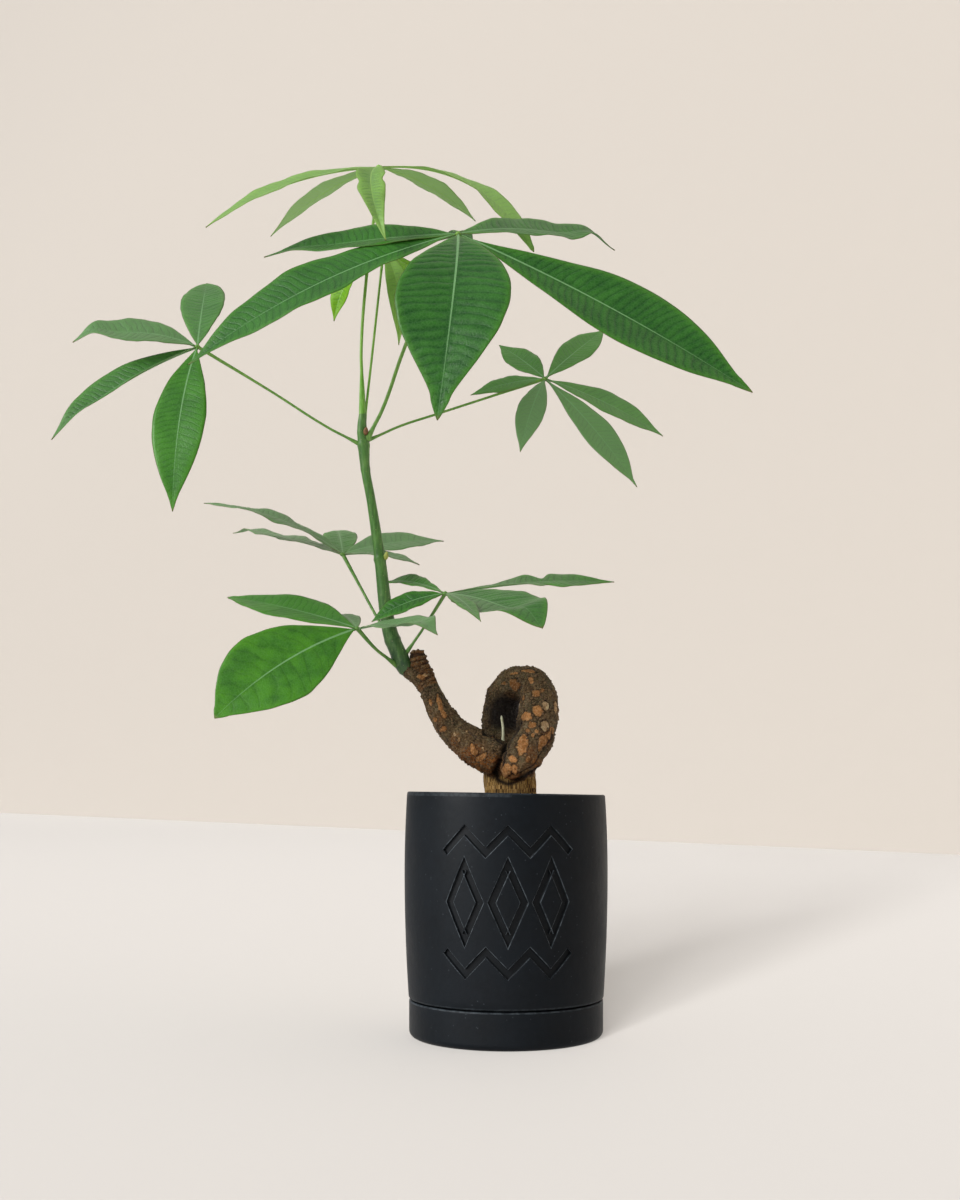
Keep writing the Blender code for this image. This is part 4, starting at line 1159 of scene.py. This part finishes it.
# What lies on the soil, in metres
crumbs = dict(
    dark=dict(Spacing=0.0016, Smallest=0.0005, Largest=0.0015, Flatness=0.8, Seed=3),
    bark=dict(Spacing=0.0062, Smallest=0.0012, Largest=0.0028, Flatness=0.45, Seed=8),
    pearl=dict(Spacing=0.011, Smallest=0.0008, Largest=0.0016, Flatness=0.9, Seed=21))
crumbPaint = dict(
    dark=dict(name="soil crumbs", dark="1f150e", light="4a3524"),
    bark=dict(name="bark bits", dark="4a2f1b", light="8a6238", roughness=0.85),
    pearl=dict(name="pearl grit", dark="b9b4a8", light="e0dcd2", roughness=0.8))


def buildSoil():
    earth = crumbMaterial("potting soil", "1d140d", "3b2a1c")
    inset = pot["wall"] + soil["clearance"]
    top, edge = soil["top"], potRadius(soil["top"]) - inset
    throat = pot["footRadius"] - inset
    shoulder, bottom = saucer["top"] + saucer["seam"], pot["floorTop"] + soil["underside"]
    profile = [(edge * share, top + soil["mound"] * math.cos(math.pi / 2 * share))
               for share in np.linspace(0, 1, soil["rings"] + 1)]
    profile += [(potRadius(height) - inset, height)
                for height in np.linspace(top - 4, shoulder + pot["flare"], soil["sideRings"])]
    profile += [(throat, shoulder + pot["footRound"]), (throat, pot["floorTop"] + pot["floorCorner"]),
                (throat - pot["floorCorner"], bottom), (0, bottom)]
    ground = turned("soil", profile, soil["turns"])
    points = coordinates(ground.data)
    onTop = (points[:, 2] > (top - 0.5) * mm) & (np.hypot(points[:, 0], points[:, 1]) < (edge - 0.3) * mm)
    for size, rise in soil["lumps"]:
        points[onTop, 2] += rise * mm * noiseAt(points[onTop], size * mm, size)
    setCoordinates(ground.data, points)
    places, radii = pathThrough([soil["hole"], *trunk["loop"][1:4]], trunk["steps"])
    hole = sweep("hole", places, radii + soil["holeSlack"] * mm, trunk["sides"], earth)
    ground = cut(ground, [hole], "pottingSoil")
    mesh = ground.data
    mesh.shade_smooth()
    mesh.set_sharp_from_angle(angle=math.radians(60))
    markBed(mesh, [face.normal.z > 0.5 and face.center.z > (top - 1) * mm for face in mesh.polygons])
    wear(ground, earth, "soil", "soil")
    for kind, sizes in crumbs.items():
        material = crumbMaterial(**crumbPaint[kind])
        bed = linkObject("bed", mesh.copy())
        piece = runTree(bed, scatterLumps, "soil_" + kind, Detail=1, Material=material, **sizes)
        wear(piece, material, "soil")
        print(piece.name, len(piece.data.polygons))


buildSoil()
print("soil made")


# Leaves. Each has its seat on the shoot (height, direction), its petiole's bends, its hub and its leaflets,
# in mm. A leaflet has its tip, width, lift, tilt, fold, twist and sway as the solid it stands for has them,
# and then: peak (above 1 puts the widest place nearer the tip), full (smaller is rounder), drip (the share of
# its length that its drawn-out tip takes), wave and waves (ripples of its sides), hook (how far it rises
# before its tip bends down), quilt (how far it swells between its veins), curl (how far its rims turn down),
# lean (how far the side veins run towards the tip), veinGap and veinStrength (against the usual), waist (a
# pinch: its place and depth), tone (0 dark to 1 light), pale (how much painted grey sheen it gets) and warm
# (yellowness). What a leaflet doesn't say is as bladeDefaults has it.

# Sizes in mm. Places along a blade are shares of its length.
leafLook = dict(
    thickness=0.42, ribWidth=0.85, ribFoot=1.8, rootOffset=1.5, columnWidth=1.9, veinGap=(2.2, 0.06),
    rowsPerVein=4.6, fewestRows=26, fewestColumns=6, fewestVeins=6, hookPlace=0.84, hookWidth=0.13,
    waistWidth=0.045, pointWidth=0.16, taper=(1.15, 0.85), ribAbove=0.2, ribBelow=1.0, hubRadius=1.9,
    hubFlatness=0.8, petioleSides=14, petioleSteps=14, petioleScale=0.72, bendScale=0.95, hubScale=1.35,
    sunk=1.0, swollen=(1.7, 4.0), firstSeed=40)
# What the leaf materials share: blotches with their size in mm and contrast, the veins' width as a share of
# their gap, how strongly each paint covers, and the gloss and relief
leafPaint = dict(
    clouds=(15.0, 0.3), spots=(2.4, 0.35), veinWidth=0.16, cloudShare=0.55, spotShare=0.25, furrowShadeShare=0.45,
    swellHighlightShare=0.16, underShare=0.85, underVeins=0.4, netShare=0.08, tipShare=0.5, roughness=0.36,
    spotRoughness=0.08, underRoughness=0.22, specular=0.3, furrowHeight=-0.3, grainSize=1.0,
    grainHeight=0.5, reliefDepth=0.0004)
# The grey-green that each skin lays on by a leaflet's pale share is a painted sheen
skins = dict(
    grown=dict(deep="0b440c", light="438729", bloom="7f9c74", sunny="4a8a12", vein="74a26c", under="4f8446",
               edge="6a4a38", dryTip="6b5a2a", seeThrough=0.08),
    young=dict(deep="37762a", light="86c01a", bloom="b2d09a", sunny="9ccc2c", vein="b0d67c", under="93cc40",
               edge="7d8a35", dryTip="6b5a2a", seeThrough=0.42))
bladeDefaults = dict(
    twist=0, sway=0, peak=1.05, full=0.92, drip=0.07, wave=0.35, waves=3.3, hook=0, quilt=0.55, curl=0.5,
    lean=0.3, veinGap=1.0, veinStrength=1.0, waist=(0.5, 0.0), tone=0.35, pale=0.0, warm=0.0)
leaves = dict(
    leaf_top=dict(
        seat=(386, None), bends=[(-89.5, 4, 422), (-86.5, 6, 468), (-81, 8, 515)], hub=(-79, 8, 538),
        petiole=1.4, swollen=(2.3, 12.0), kind="young", leaflets=[
            dict(tip=(-181, -20, 489), width=18, lift=8, tilt=33, fold=0.25, wave=0.5, quilt=0.3, tone=0.7,
                 pale=0.5),
            dict(tip=(-154, 60, 516), width=17, lift=6, tilt=10, fold=0.25, quilt=0.3, tone=1.0, pale=1.0),
            dict(tip=(-70, -58, 466), width=18, lift=10, tilt=8, fold=0.35, twist=48, sway=-7, peak=0.86,
                 wave=1.3, waves=2.3, quilt=0.85, veinStrength=1.4, waist=(0.47, 0.2), tone=0.55,
                 pale=0.35),
            dict(tip=(-19, 60, 526), width=19, lift=6, tilt=8, fold=0.2, quilt=0.3, tone=0.9, pale=0.85),
            dict(tip=(18, 20, 490), width=22, lift=18, tilt=12, fold=0.2, twist=38, peak=1.4, drip=0.02,
                 wave=0.6, quilt=0.3, tone=1.0, pale=0.5)]),
    leaf_second=dict(
        seat=(377, 50), bends=[(-83, 8, 422), (-79, 22, 473)], hub=(-78, 36, 497), petiole=1.1,
        kind="young", leaflets=[
            dict(tip=(-111, 48, 456), width=20, lift=8, tilt=38, fold=0.3, quilt=0.3, tone=0.9),
            dict(tip=(-67, 16, 430), width=14, lift=10, tilt=45, fold=0.35, quilt=0.3, tone=1.0, pale=0.4,
                 warm=0.9),
            dict(tip=(-112, 80, 492), width=18, lift=3, tilt=0, fold=0.2, tone=0.5),
            dict(tip=(-62, 112, 490), width=16, lift=6, tilt=0, fold=0.2, tone=0.5),
            dict(tip=(-35, 66, 478), width=14, lift=2, tilt=10, fold=0.2, tone=0.6)]),
    leaf_main=dict(
        seat=(367, -15), bends=[(-76, -3, 384), (-63, -8, 418), (-46, -18, 455)], hub=(-29, -30, 481),
        petiole=1.6, kind="grown", leaflets=[
            dict(tip=(-39, -105, 350), width=64, lift=22, tilt=30, fold=0.1, sway=6, peak=1.15, full=1.1,
                 drip=0.06, quilt=0.85, lean=0.1, tone=0.05),
            dict(tip=(142, -50, 381), width=47, lift=4, tilt=60, fold=0.18, peak=1.35, full=1.0, drip=0.05,
                 quilt=0.4, tone=0.08),
            dict(tip=(-183, -60, 394), width=44, lift=9, tilt=43, fold=0.18, peak=1.15, wave=0.9,
                 quilt=0.25, veinStrength=0.7, tone=0.25),
            dict(tip=(-149, 0, 479), width=38, lift=2.5, tilt=41, fold=0.18, drip=0.12, hook=2, tone=0.25),
            dict(tip=(71, 40, 499), width=35, lift=7, tilt=43, fold=0.15, peak=1.0, wave=0.7, hook=7,
                 tone=0.22, pale=0.04),
            dict(tip=(-28, 76, 498), width=16, lift=10, tilt=4, fold=0.15, tone=0.3)]),
    leaf_left=dict(
        seat=(365, 185), bends=[(-109, 2, 374), (-145, -2, 396)], hub=(-188, -10, 420.5), petiole=1.1,
        kind="grown", leaflets=[
            dict(tip=(-195, 55, 483), width=28, lift=3, tilt=60, fold=0.12, peak=1.4, full=0.62, drip=0.02,
                 quilt=0.45, tone=0.5, pale=0.2),
            dict(tip=(-261, -20, 420), width=33, lift=7, tilt=41, fold=0.15, drip=0.06, hook=5, tone=0.5,
                 pale=0.38),
            dict(tip=(-266, -45, 355), width=26, lift=5, tilt=30, fold=0.42, wave=0.15, hook=3, quilt=0.4,
                 tone=0.42, pale=0.12),
            dict(tip=(-192, -60, 310), width=31, lift=8, tilt=40, fold=0.1, sway=-1, peak=1.12, quilt=0.2,
                 veinStrength=0.6, tone=0.45, warm=0.3)]),
    leaf_right=dict(
        seat=(367, 40), bends=[(-66, 12, 378), (-44, 20, 387.5), (-10, 32, 402)], hub=(26, 40, 416),
        petiole=1.1, kind="grown", leaflets=[
            dict(tip=(-3, 78, 450), width=20, lift=1, tilt=60, fold=0.1, quilt=0.3, lean=0.55, tone=0.8,
                 pale=0.2, warm=0.5),
            dict(tip=(69, 88, 464), width=21, lift=1, tilt=60, fold=0.14, peak=1.2, quilt=0.3, lean=0.55,
                 tone=0.8, pale=0.2, warm=0.5),
            dict(tip=(-22, 35, 404), width=15, lift=2, tilt=50, fold=0.1, quilt=0.3, lean=0.55, tone=1.0,
                 pale=0.3, warm=0.7),
            dict(tip=(9, 8, 361), width=18, lift=3, tilt=60, fold=0.12, quilt=0.3, lean=0.55, tone=1.0,
                 pale=0.6, warm=0.5),
            dict(tip=(82, 12, 340), width=21, lift=3, tilt=55, fold=0.14, peak=1.25, drip=0.1, quilt=0.3,
                 lean=0.55, tone=1.0, pale=0.52, warm=0.5),
            dict(tip=(102, 40, 379), width=20, lift=3, tilt=52, fold=0.2, peak=1.2, quilt=0.3, lean=0.55,
                 tone=1.0, pale=0.35, warm=0.5)]),
    leaf_low_back=dict(
        seat=(238, 95), bends=[(-80, 14, 258), (-91, 26, 278)], hub=(-104, 35, 302), petiole=1.3,
        kind="grown", leaflets=[
            dict(tip=(-197, 55, 339), width=18, lift=7, tilt=19, fold=0.15, wave=1.3, waves=2.4, tone=0.4,
                 pale=0.6),
            dict(tip=(-185, 95, 327), width=24, lift=3, tilt=11, fold=0.15, wave=0.9, hook=3, tone=0.45,
                 pale=0.7),
            dict(tip=(-115, 108, 331), width=23, lift=3, tilt=30, fold=0.1, peak=1.0, full=0.62, drip=0.02,
                 tone=0.7, pale=0.2),
            dict(tip=(-40, 60, 315), width=34, lift=3, tilt=30, fold=0.12, drip=0.1, tone=0.6, pale=0.45),
            dict(tip=(-54, 15, 292), width=20, lift=3, tilt=16, fold=0.15, tone=0.45, pale=0.6)]),
    leaf_low_left=dict(
        seat=(229, 200), bends=[(-79, -12, 236)], hub=(-90, -18, 248), petiole=1.4, kind="grown", leaflets=[
            dict(tip=(-176, 25, 273), width=38, lift=2, tilt=27, fold=0.12, drip=0.03, quilt=0.3,
                 veinStrength=0.6, tone=0.6, warm=0.35),
            dict(tip=(-166, -70, 191), width=56, lift=6, tilt=60, fold=0.08, peak=1.22, full=0.88,
                 drip=0.04, lean=0.35, veinGap=1.6, veinStrength=0.5, tone=0.1, warm=0.8),
            dict(tip=(-112, 46, 263), width=17, lift=4, tilt=5, fold=0.12, full=0.7, tone=0.3, pale=0.6),
            dict(tip=(-40, -72, 238), width=33, lift=4, tilt=24, fold=0.15, peak=1.25, hook=5, tone=0.4,
                 pale=0.5)]),
    leaf_low_right=dict(
        seat=(233, -5), bends=[(-51, -6, 249)], hub=(-37, -15, 269.5), petiole=1.2, kind="grown", leaflets=[
            dict(tip=(-72, 28, 284), width=21, lift=2, tilt=26, fold=0.2, twist=6, peak=3.4, full=0.3,
                 drip=0.01, tone=0.5),
            dict(tip=(-81, -22, 251.5), width=19, lift=3, tilt=38, fold=0.15, full=0.8, tone=0.0, warm=0.1),
            dict(tip=(68, 14, 281), width=31, lift=3, tilt=-1, fold=0.12, twist=42, peak=1.2, drip=0.12,
                 wave=0.7, waves=2.6, waist=(0.58, 0.55), pale=0.1, warm=0.1),
            dict(tip=(19, -78, 241), width=46, lift=4, tilt=27, fold=0.12, peak=1.25, full=0.7, drip=0.03,
                 hook=6, lean=0.5, tone=0.2, pale=0.1),
            dict(tip=(-15.6, -93, 243), width=12, lift=3, tilt=9, fold=0.12, tone=0.2, pale=0.2)]))


# A leaflet's middle line in mm: its two ends, the point that bows it, and its length
def bladeLine(hub, spec):
    hub, tip = np.array(hub, float), np.array(spec["tip"], float)
    chord = tip - hub
    up = normalised(np.array((0, 0, 1.0)) - chord * chord[2] / chord.dot(chord))
    bow = (hub + tip) / 2 + up * 2 * spec["lift"] + np.array((2.0 * spec["sway"], 0, 0))
    root = hub + normalised(bow - hub) * leafLook["rootOffset"]
    length = np.linalg.norm(bow - root) / 2 + np.linalg.norm(tip - bow) / 2 + np.linalg.norm(tip - root) / 2
    return root, bow, tip, length


# For each share t of the middle line: its place, the way to the blade's side, and the way out of its face
def bladeSpine(root, bow, tip, spec, t):
    spot = root * (1 - t) ** 2 + bow * 2 * t * (1 - t) + tip * t ** 2
    tangent = normalised((bow - root) * (1 - t) + (tip - bow) * t)
    turn = np.radians(spec["tilt"] + spec["twist"] * t)
    facing = np.hstack([0 * t, -np.sin(turn), np.cos(turn)])
    side = normalised(np.cross(tangent, facing))
    hook = spec["hook"] * np.exp(-((t - leafLook["hookPlace"]) / leafLook["hookWidth"]) ** 2) * (1 - t ** 12)
    return spot + np.array((0, 0, 1.0)) * hook, side, np.cross(side, tangent)


# Half the blade's width at each t: drawn out at the tip, slightly ragged, and pinched at its waist
def bladeHalf(spec, t, phases):
    drip = spec["drip"]
    share = np.clip(t / (1 - 0.5 * drip), 0, 1) ** spec["peak"]
    body = np.maximum(np.sin(math.pi * share), 0) ** spec["full"]
    point = leafLook["pointWidth"] * np.clip((1 - t) / drip, 0, 1) ** 0.75 * smoothStep(t, 0.5, 0.8)
    ragged = 1 + 0.005 * np.sin(t * 31 + phases[0]) + 0.004 * np.sin(t * 53 + phases[1])
    half = spec["width"] / 2 * ragged * (body ** 4 + point ** 4) ** 0.25
    place, depth = spec["waist"]
    pinch = depth * np.exp(-((t - place) / leafLook["waistWidth"]) ** 2)
    return np.maximum(half * (1 - pinch), 0.85 - 0.55 * t)


# How many side veins lie between the hub and each point, for the blade's right and left halves
def veinPhases(spec, t, v, offset, length, count, phases):
    reach = count * np.abs(offset) * spec["lean"] / length + 0.6 * np.abs(v) ** 3
    wavy = 0.10 * np.sin(v * 7 + t * 40 + phases[6])
    for half in (0, 1):
        wander = 0.24 * np.sin(t * 9 + phases[2 + half]) + 0.17 * np.sin(t * 23 + phases[4 + half])
        yield count * t + 0.5 * half + wander + wavy - reach


# How far the blade leaves its plane through fold, quilting, ripples and curl, and how swollen each point is
def bladeLift(spec, t, v, offset, rib, own, phases):
    ends = np.sin(math.pi * np.clip(t, 0, 1)) ** 0.6
    swell = np.abs(np.sin(math.pi * own)) ** 0.7
    uneven = 0.75 + 0.25 * np.sin(np.floor(own) * 2.3 + phases[7])
    beside = smoothStep(np.abs(offset), rib, rib * leafLook["ribFoot"] + 2.0)
    quilt = spec["quilt"] * (swell * uneven - 0.5) * beside * (1 - np.abs(v) ** 5) * ends
    sided = np.sign(v) * 0.9
    wave, waves = spec["wave"], spec["waves"]
    ripple = wave * v ** 2 * np.sin(2 * math.pi * waves * t + phases[5] + sided) * ends
    ripple = ripple + 0.25 * wave * v ** 4 * np.sin(2 * math.pi * 2.7 * waves * t + sided * 2) * ends
    curl = -spec["curl"] * np.abs(v) ** 4 * ends
    fold = spec["fold"] * (np.sqrt(offset ** 2 + rib ** 2) - rib)
    return fold + quilt + ripple + curl, swell * beside


# Four-sided faces of a sheet's upper and lower skin and of the strip that closes them all round
def shellFaces(rows, columns):
    size = rows * columns
    index = np.arange(size).reshape(rows, columns)
    upper = np.stack([index[:-1, :-1], index[:-1, 1:], index[1:, 1:], index[1:, :-1]], axis=-1).reshape(-1, 4)
    loop = np.concatenate([index[0, :-1], index[:-1, -1], index[-1, :0:-1], index[:0:-1, 0]])
    following = np.roll(loop, -1)
    rim = np.stack([loop, loop + size, following + size, following], axis=-1)
    return np.concatenate([upper, upper[:, ::-1] + size, rim])


def twice(values):
    return np.concatenate([values.ravel(), values.ravel()])


# One leaflet with real thickness: its points, faces, vein coordinates, point values and look
def bladeParts(hub, leaflet, draw):
    spec = {**bladeDefaults, **leaflet}
    width = spec["width"]
    root, bow, tip, length = bladeLine(hub, spec)
    least, more = leafLook["veinGap"]
    veinGap = spec["veinGap"] * (least + more * width)
    rows = max(leafLook["fewestRows"], round(length / veinGap * leafLook["rowsPerVein"]))
    t = np.linspace(0, 1, rows)[:, None]
    spot, side, normal = bladeSpine(root, bow, tip, spec, t)
    phases = draw.uniform(0, 2 * math.pi, 8)
    half = bladeHalf(spec, t, phases)

    start, loss = leafLook["taper"]
    taper = start - loss * t
    rib = np.minimum(leafLook["ribWidth"] * taper * (0.3 + 0.7 * min(1.0, width / 60)), 0.42 * half)
    ribFoot = leafLook["ribFoot"] * rib
    across = max(leafLook["fewestColumns"], round(width / 2 / leafLook["columnWidth"]))
    shares = np.linspace(0, 1, across + 1)[1:]
    right = np.hstack([rib, ribFoot] + [ribFoot + (half - ribFoot) * share for share in shares])
    offset = np.hstack([-right[:, ::-1], 0 * t, right])
    v = offset / half
    columns = offset.shape[1]
    centre = columns // 2

    count = max(leafLook["fewestVeins"], round(length / veinGap))
    phase, leftPhase = veinPhases(spec, t, v, offset, length, count, phases)
    own = np.where(np.arange(columns) < centre, leftPhase, phase)
    lift, swell = bladeLift(spec, t, v, offset, rib, own, phases)
    middle = spot[:, None, :] + side[:, None, :] * offset[..., None] + normal[:, None, :] * lift[..., None]

    slim = leafLook["thickness"] / 2 * (1 - 0.6 * np.abs(v) ** 8)
    onRib = np.clip(1 - np.abs(offset) / ribFoot, 0, 1)
    above = slim + leafLook["ribAbove"] * taper * min(1.0, width / 45) * onRib ** 1.5
    below = slim + leafLook["ribBelow"] * taper * min(1.0, 0.3 + width / 70) * onRib
    slope = np.gradient(lift, axis=1) / np.maximum(np.gradient(offset, axis=1), 1e-6)
    surface = normalised(normal[:, None, :] - side[:, None, :] * slope[..., None])
    points = np.concatenate([(middle + surface * above[..., None]).reshape(-1, 3),
                             (middle - surface * below[..., None]).reshape(-1, 3)])

    faces = shellFaces(rows, columns)
    onLeft = np.tile(np.arange(columns), 2 * rows)[faces].mean(axis=1) < centre
    corners = faces.ravel()
    chosen = np.where(np.repeat(onLeft, 4), twice(leftPhase)[corners], twice(phase)[corners])
    uv = np.stack([chosen, twice(v)[corners]], axis=1)
    size = rows * columns
    values = dict(
        along=twice(np.broadcast_to(t, offset.shape)), under=np.repeat((0.0, 1.0), size),
        rim=twice(half - np.abs(offset)), rib=twice(np.abs(offset) / rib), swell=twice(swell),
        bold=np.full(2 * size, spec["veinStrength"]))
    look = np.tile((spec["tone"], spec["pale"], spec["warm"]), (2 * size, 1))
    return points * mm, faces, uv, values, look


# Leaf skin: green with sunken side veins in painted shade, swells between them in painted highlight, a
# painted grey sheen, a pale midrib, yellower rims, a fine net and a duller underside
def leafMaterial(name, skin):
    look = leafPaint
    made, tree, shader, where = newMaterial(name, specular=look["specular"])
    phase = addNode(tree, "ShaderNodeSeparateXYZ",
                    {0: addNode(tree, "ShaderNodeUVMap", uv_map="veins").outputs[0]}).outputs[0]
    tone, pale, warm = addNode(tree, "ShaderNodeSeparateXYZ", {0: attribute(tree, "look", "Vector")}).outputs
    below, rim, along = (attribute(tree, value) for value in ("under", "rim", "along"))
    net = useGroup(tree, veins, Vector=where, Phase=phase, Width=look["veinWidth"])
    cloud, spots = (blotches(tree, where, *look[kind]) for kind in ("clouds", "spots"))
    lines = times(tree, net["Veins"], span(tree, rim, 0.8, 4.0))
    lines = times(tree, lines, attribute(tree, "bold"))

    cloudy = times(tree, maths(tree, "SUBTRACT", cloud, 0.5), look["cloudShare"])
    share = maths(tree, "ADD", tone, cloudy, clamp=True)
    colour = blendColours(tree, share, paint(skin["deep"]), paint(skin["light"]))
    colour = tint(tree, colour, times(tree, warm, span(tree, cloud, 0.2, 0.9, 0.4, 1.0)), skin["sunny"])
    colour = tint(tree, colour, spots, skin["light"], look["spotShare"])
    colour = tint(tree, colour, span(tree, rim, 0.5, 5.5, 0.35, 0.0), skin["sunny"])
    # Painted shade in the sunken side veins
    furrows = times(tree, lines, opposite(tree, below))
    colour = tint(tree, colour, furrows, skin["deep"], look["furrowShadeShare"])
    # Painted highlight on the swells between the veins
    swell = span(tree, attribute(tree, "swell"), 0.5, 1.0)
    colour = tint(tree, colour, swell, skin["light"], look["swellHighlightShare"])
    # A painted grey sheen, as much as each leaflet's pale asks for, on the upper face and the underside
    colour = tint(tree, colour, pale, skin["bloom"])
    underside = blendColours(tree, pale, paint(skin["under"]), paint(skin["bloom"]))
    colour = blendColours(tree, times(tree, below, look["underShare"]), colour, underside)
    colour = tint(tree, colour, times(tree, lines, below), skin["vein"], look["underVeins"])
    colour = tint(tree, colour, net["Net"], skin["vein"], look["netShare"])
    onRib = opposite(tree, span(tree, attribute(tree, "rib"), 0.5, 1.1))
    colour = tint(tree, colour, times(tree, onRib, span(tree, along, 0.45, 0.97, 0.9, 0.25)), skin["vein"])
    margin = times(tree, opposite(tree, span(tree, rim, 0.05, 0.4)), span(tree, cloud, 0.2, 0.8, 0.2, 0.7))
    colour = tint(tree, colour, margin, skin["edge"])
    colour = tint(tree, colour, span(tree, along, 0.975, 1.0), skin["dryTip"], look["tipShare"])
    plug(tree, shader.inputs["Base Color"], colour)

    rougher = maths(tree, "ADD", times(tree, spots, look["spotRoughness"]),
                    times(tree, below, look["underRoughness"]))
    plug(tree, shader.inputs["Roughness"], maths(tree, "ADD", rougher, look["roughness"]))
    fine = fineGrain(tree, where, look["grainSize"])
    height = maths(tree, "ADD", times(tree, lines, look["furrowHeight"]),
                   times(tree, fine, look["grainHeight"]))
    relief(tree, shader, height, look["reliefDepth"])
    glow = addNode(tree, "ShaderNodeBsdfTranslucent", {"Color": colour})
    both = addNode(tree, "ShaderNodeMixShader",
                   {0: skin["seeThrough"], 1: shader.outputs[0], 2: glow.outputs[0]})
    plug(tree, tree.nodes["Material Output"].inputs["Surface"], both.outputs[0])
    return made


# A place in mm a little inside the shoot, at a height and a direction round it, or at its very top
def seatOnShoot(height, direction):
    line, sunk = shoot["line"], leafLook["sunk"]
    if direction is None:
        top, below = Vector(line[-1][0]), Vector(line[-2][0])
        return top - (top - below).normalized() * sunk
    for (low, lowRadius), (high, highRadius) in zip(line, line[1:]):
        if low[2] <= height <= high[2]:
            share = (height - low[2]) / (high[2] - low[2])
            middle = Vector(low).lerp(Vector(high), share)
            radius = lowRadius + (highRadius - lowRadius) * share
            axis = (Vector(high) - Vector(low)).normalized()
    out = Vector((math.cos(math.radians(direction)), math.sin(math.radians(direction)), 0))
    return middle + (out - axis * out.dot(axis)).normalized() * (radius - sunk)


def buildBlades(name, title, leaf, skin, seed):
    draw = np.random.default_rng(seed)
    blades = [bladeParts(leaf["hub"], leaflet, draw) for leaflet in leaf["leaflets"]]
    points, faces, uvs, values, looks = zip(*blades)
    starts = np.cumsum([0] + [len(part) for part in points])
    faces = np.concatenate([faces + start for faces, start in zip(faces, starts)])
    mesh = bpy.data.meshes.new(title + "Blades")
    mesh.from_pydata(np.concatenate(points).tolist(), [], faces.tolist())
    mesh.uv_layers.new(name="veins").data.foreach_set("uv", np.concatenate(uvs).astype(np.float32).ravel())
    for key in values[0]:
        addValues(mesh, key, np.concatenate([value[key] for value in values]))
    addValues(mesh, "look", np.concatenate(looks), "FLOAT_VECTOR")
    mesh.shade_smooth()
    wear(linkObject(title + "Blades", mesh), skin, slotOf[leaf["kind"]], name)


# The leaf's stalk, swollen where it leaves the shoot, with a knob where the leaflets meet
def buildPetiole(title, leaf, stalk):
    radius = leaf["petiole"] * leafLook["petioleScale"]
    foot = seatOnShoot(*leaf["seat"])
    way = (Vector(leaf["bends"][0]) - foot).normalized()
    swollen, length = leaf.get("swollen", leafLook["swollen"])
    line = [(foot, radius * swollen), (foot + way * length, radius * (0.4 + 0.6 * swollen)),
            (foot + way * 2.2 * length, radius)]
    line += [(bend, radius * leafLook["bendScale"]) for bend in leaf["bends"]]
    line.append((leaf["hub"], radius * leafLook["hubScale"]))
    places, radii = pathThrough(line, leafLook["petioleSteps"])
    petiole = sweep("petiole", places, radii, leafLook["petioleSides"], stalk)
    hubRadius = leafLook["hubRadius"]
    knob = egg("knob", leaf["hub"], hubRadius, hubRadius * leafLook["hubFlatness"])
    stem = fuse(title + "Petiole", [petiole, knob])
    wear(stem, stalk, slotOf[leaf["kind"]])
    stem.data.shade_smooth()


slotOf = dict(grown="leaf", young="young_leaf")
leafSkins = {kind: leafMaterial(kind + " leaf", skins[kind]) for kind in slotOf}
stalks = {kind: stemMaterial(kind + " petiole", stems[kind], 5.0) for kind in slotOf}
for number, (leafName, leaf) in enumerate(leaves.items()):
    first, *others = leafName.split("_")
    title = first + "".join(word.capitalize() for word in others)
    buildBlades(leafName, title, leaf, leafSkins[leaf["kind"]], leafLook["firstSeed"] + number)
    buildPetiole(title, leaf, stalks[leaf["kind"]])
print("leaves made")
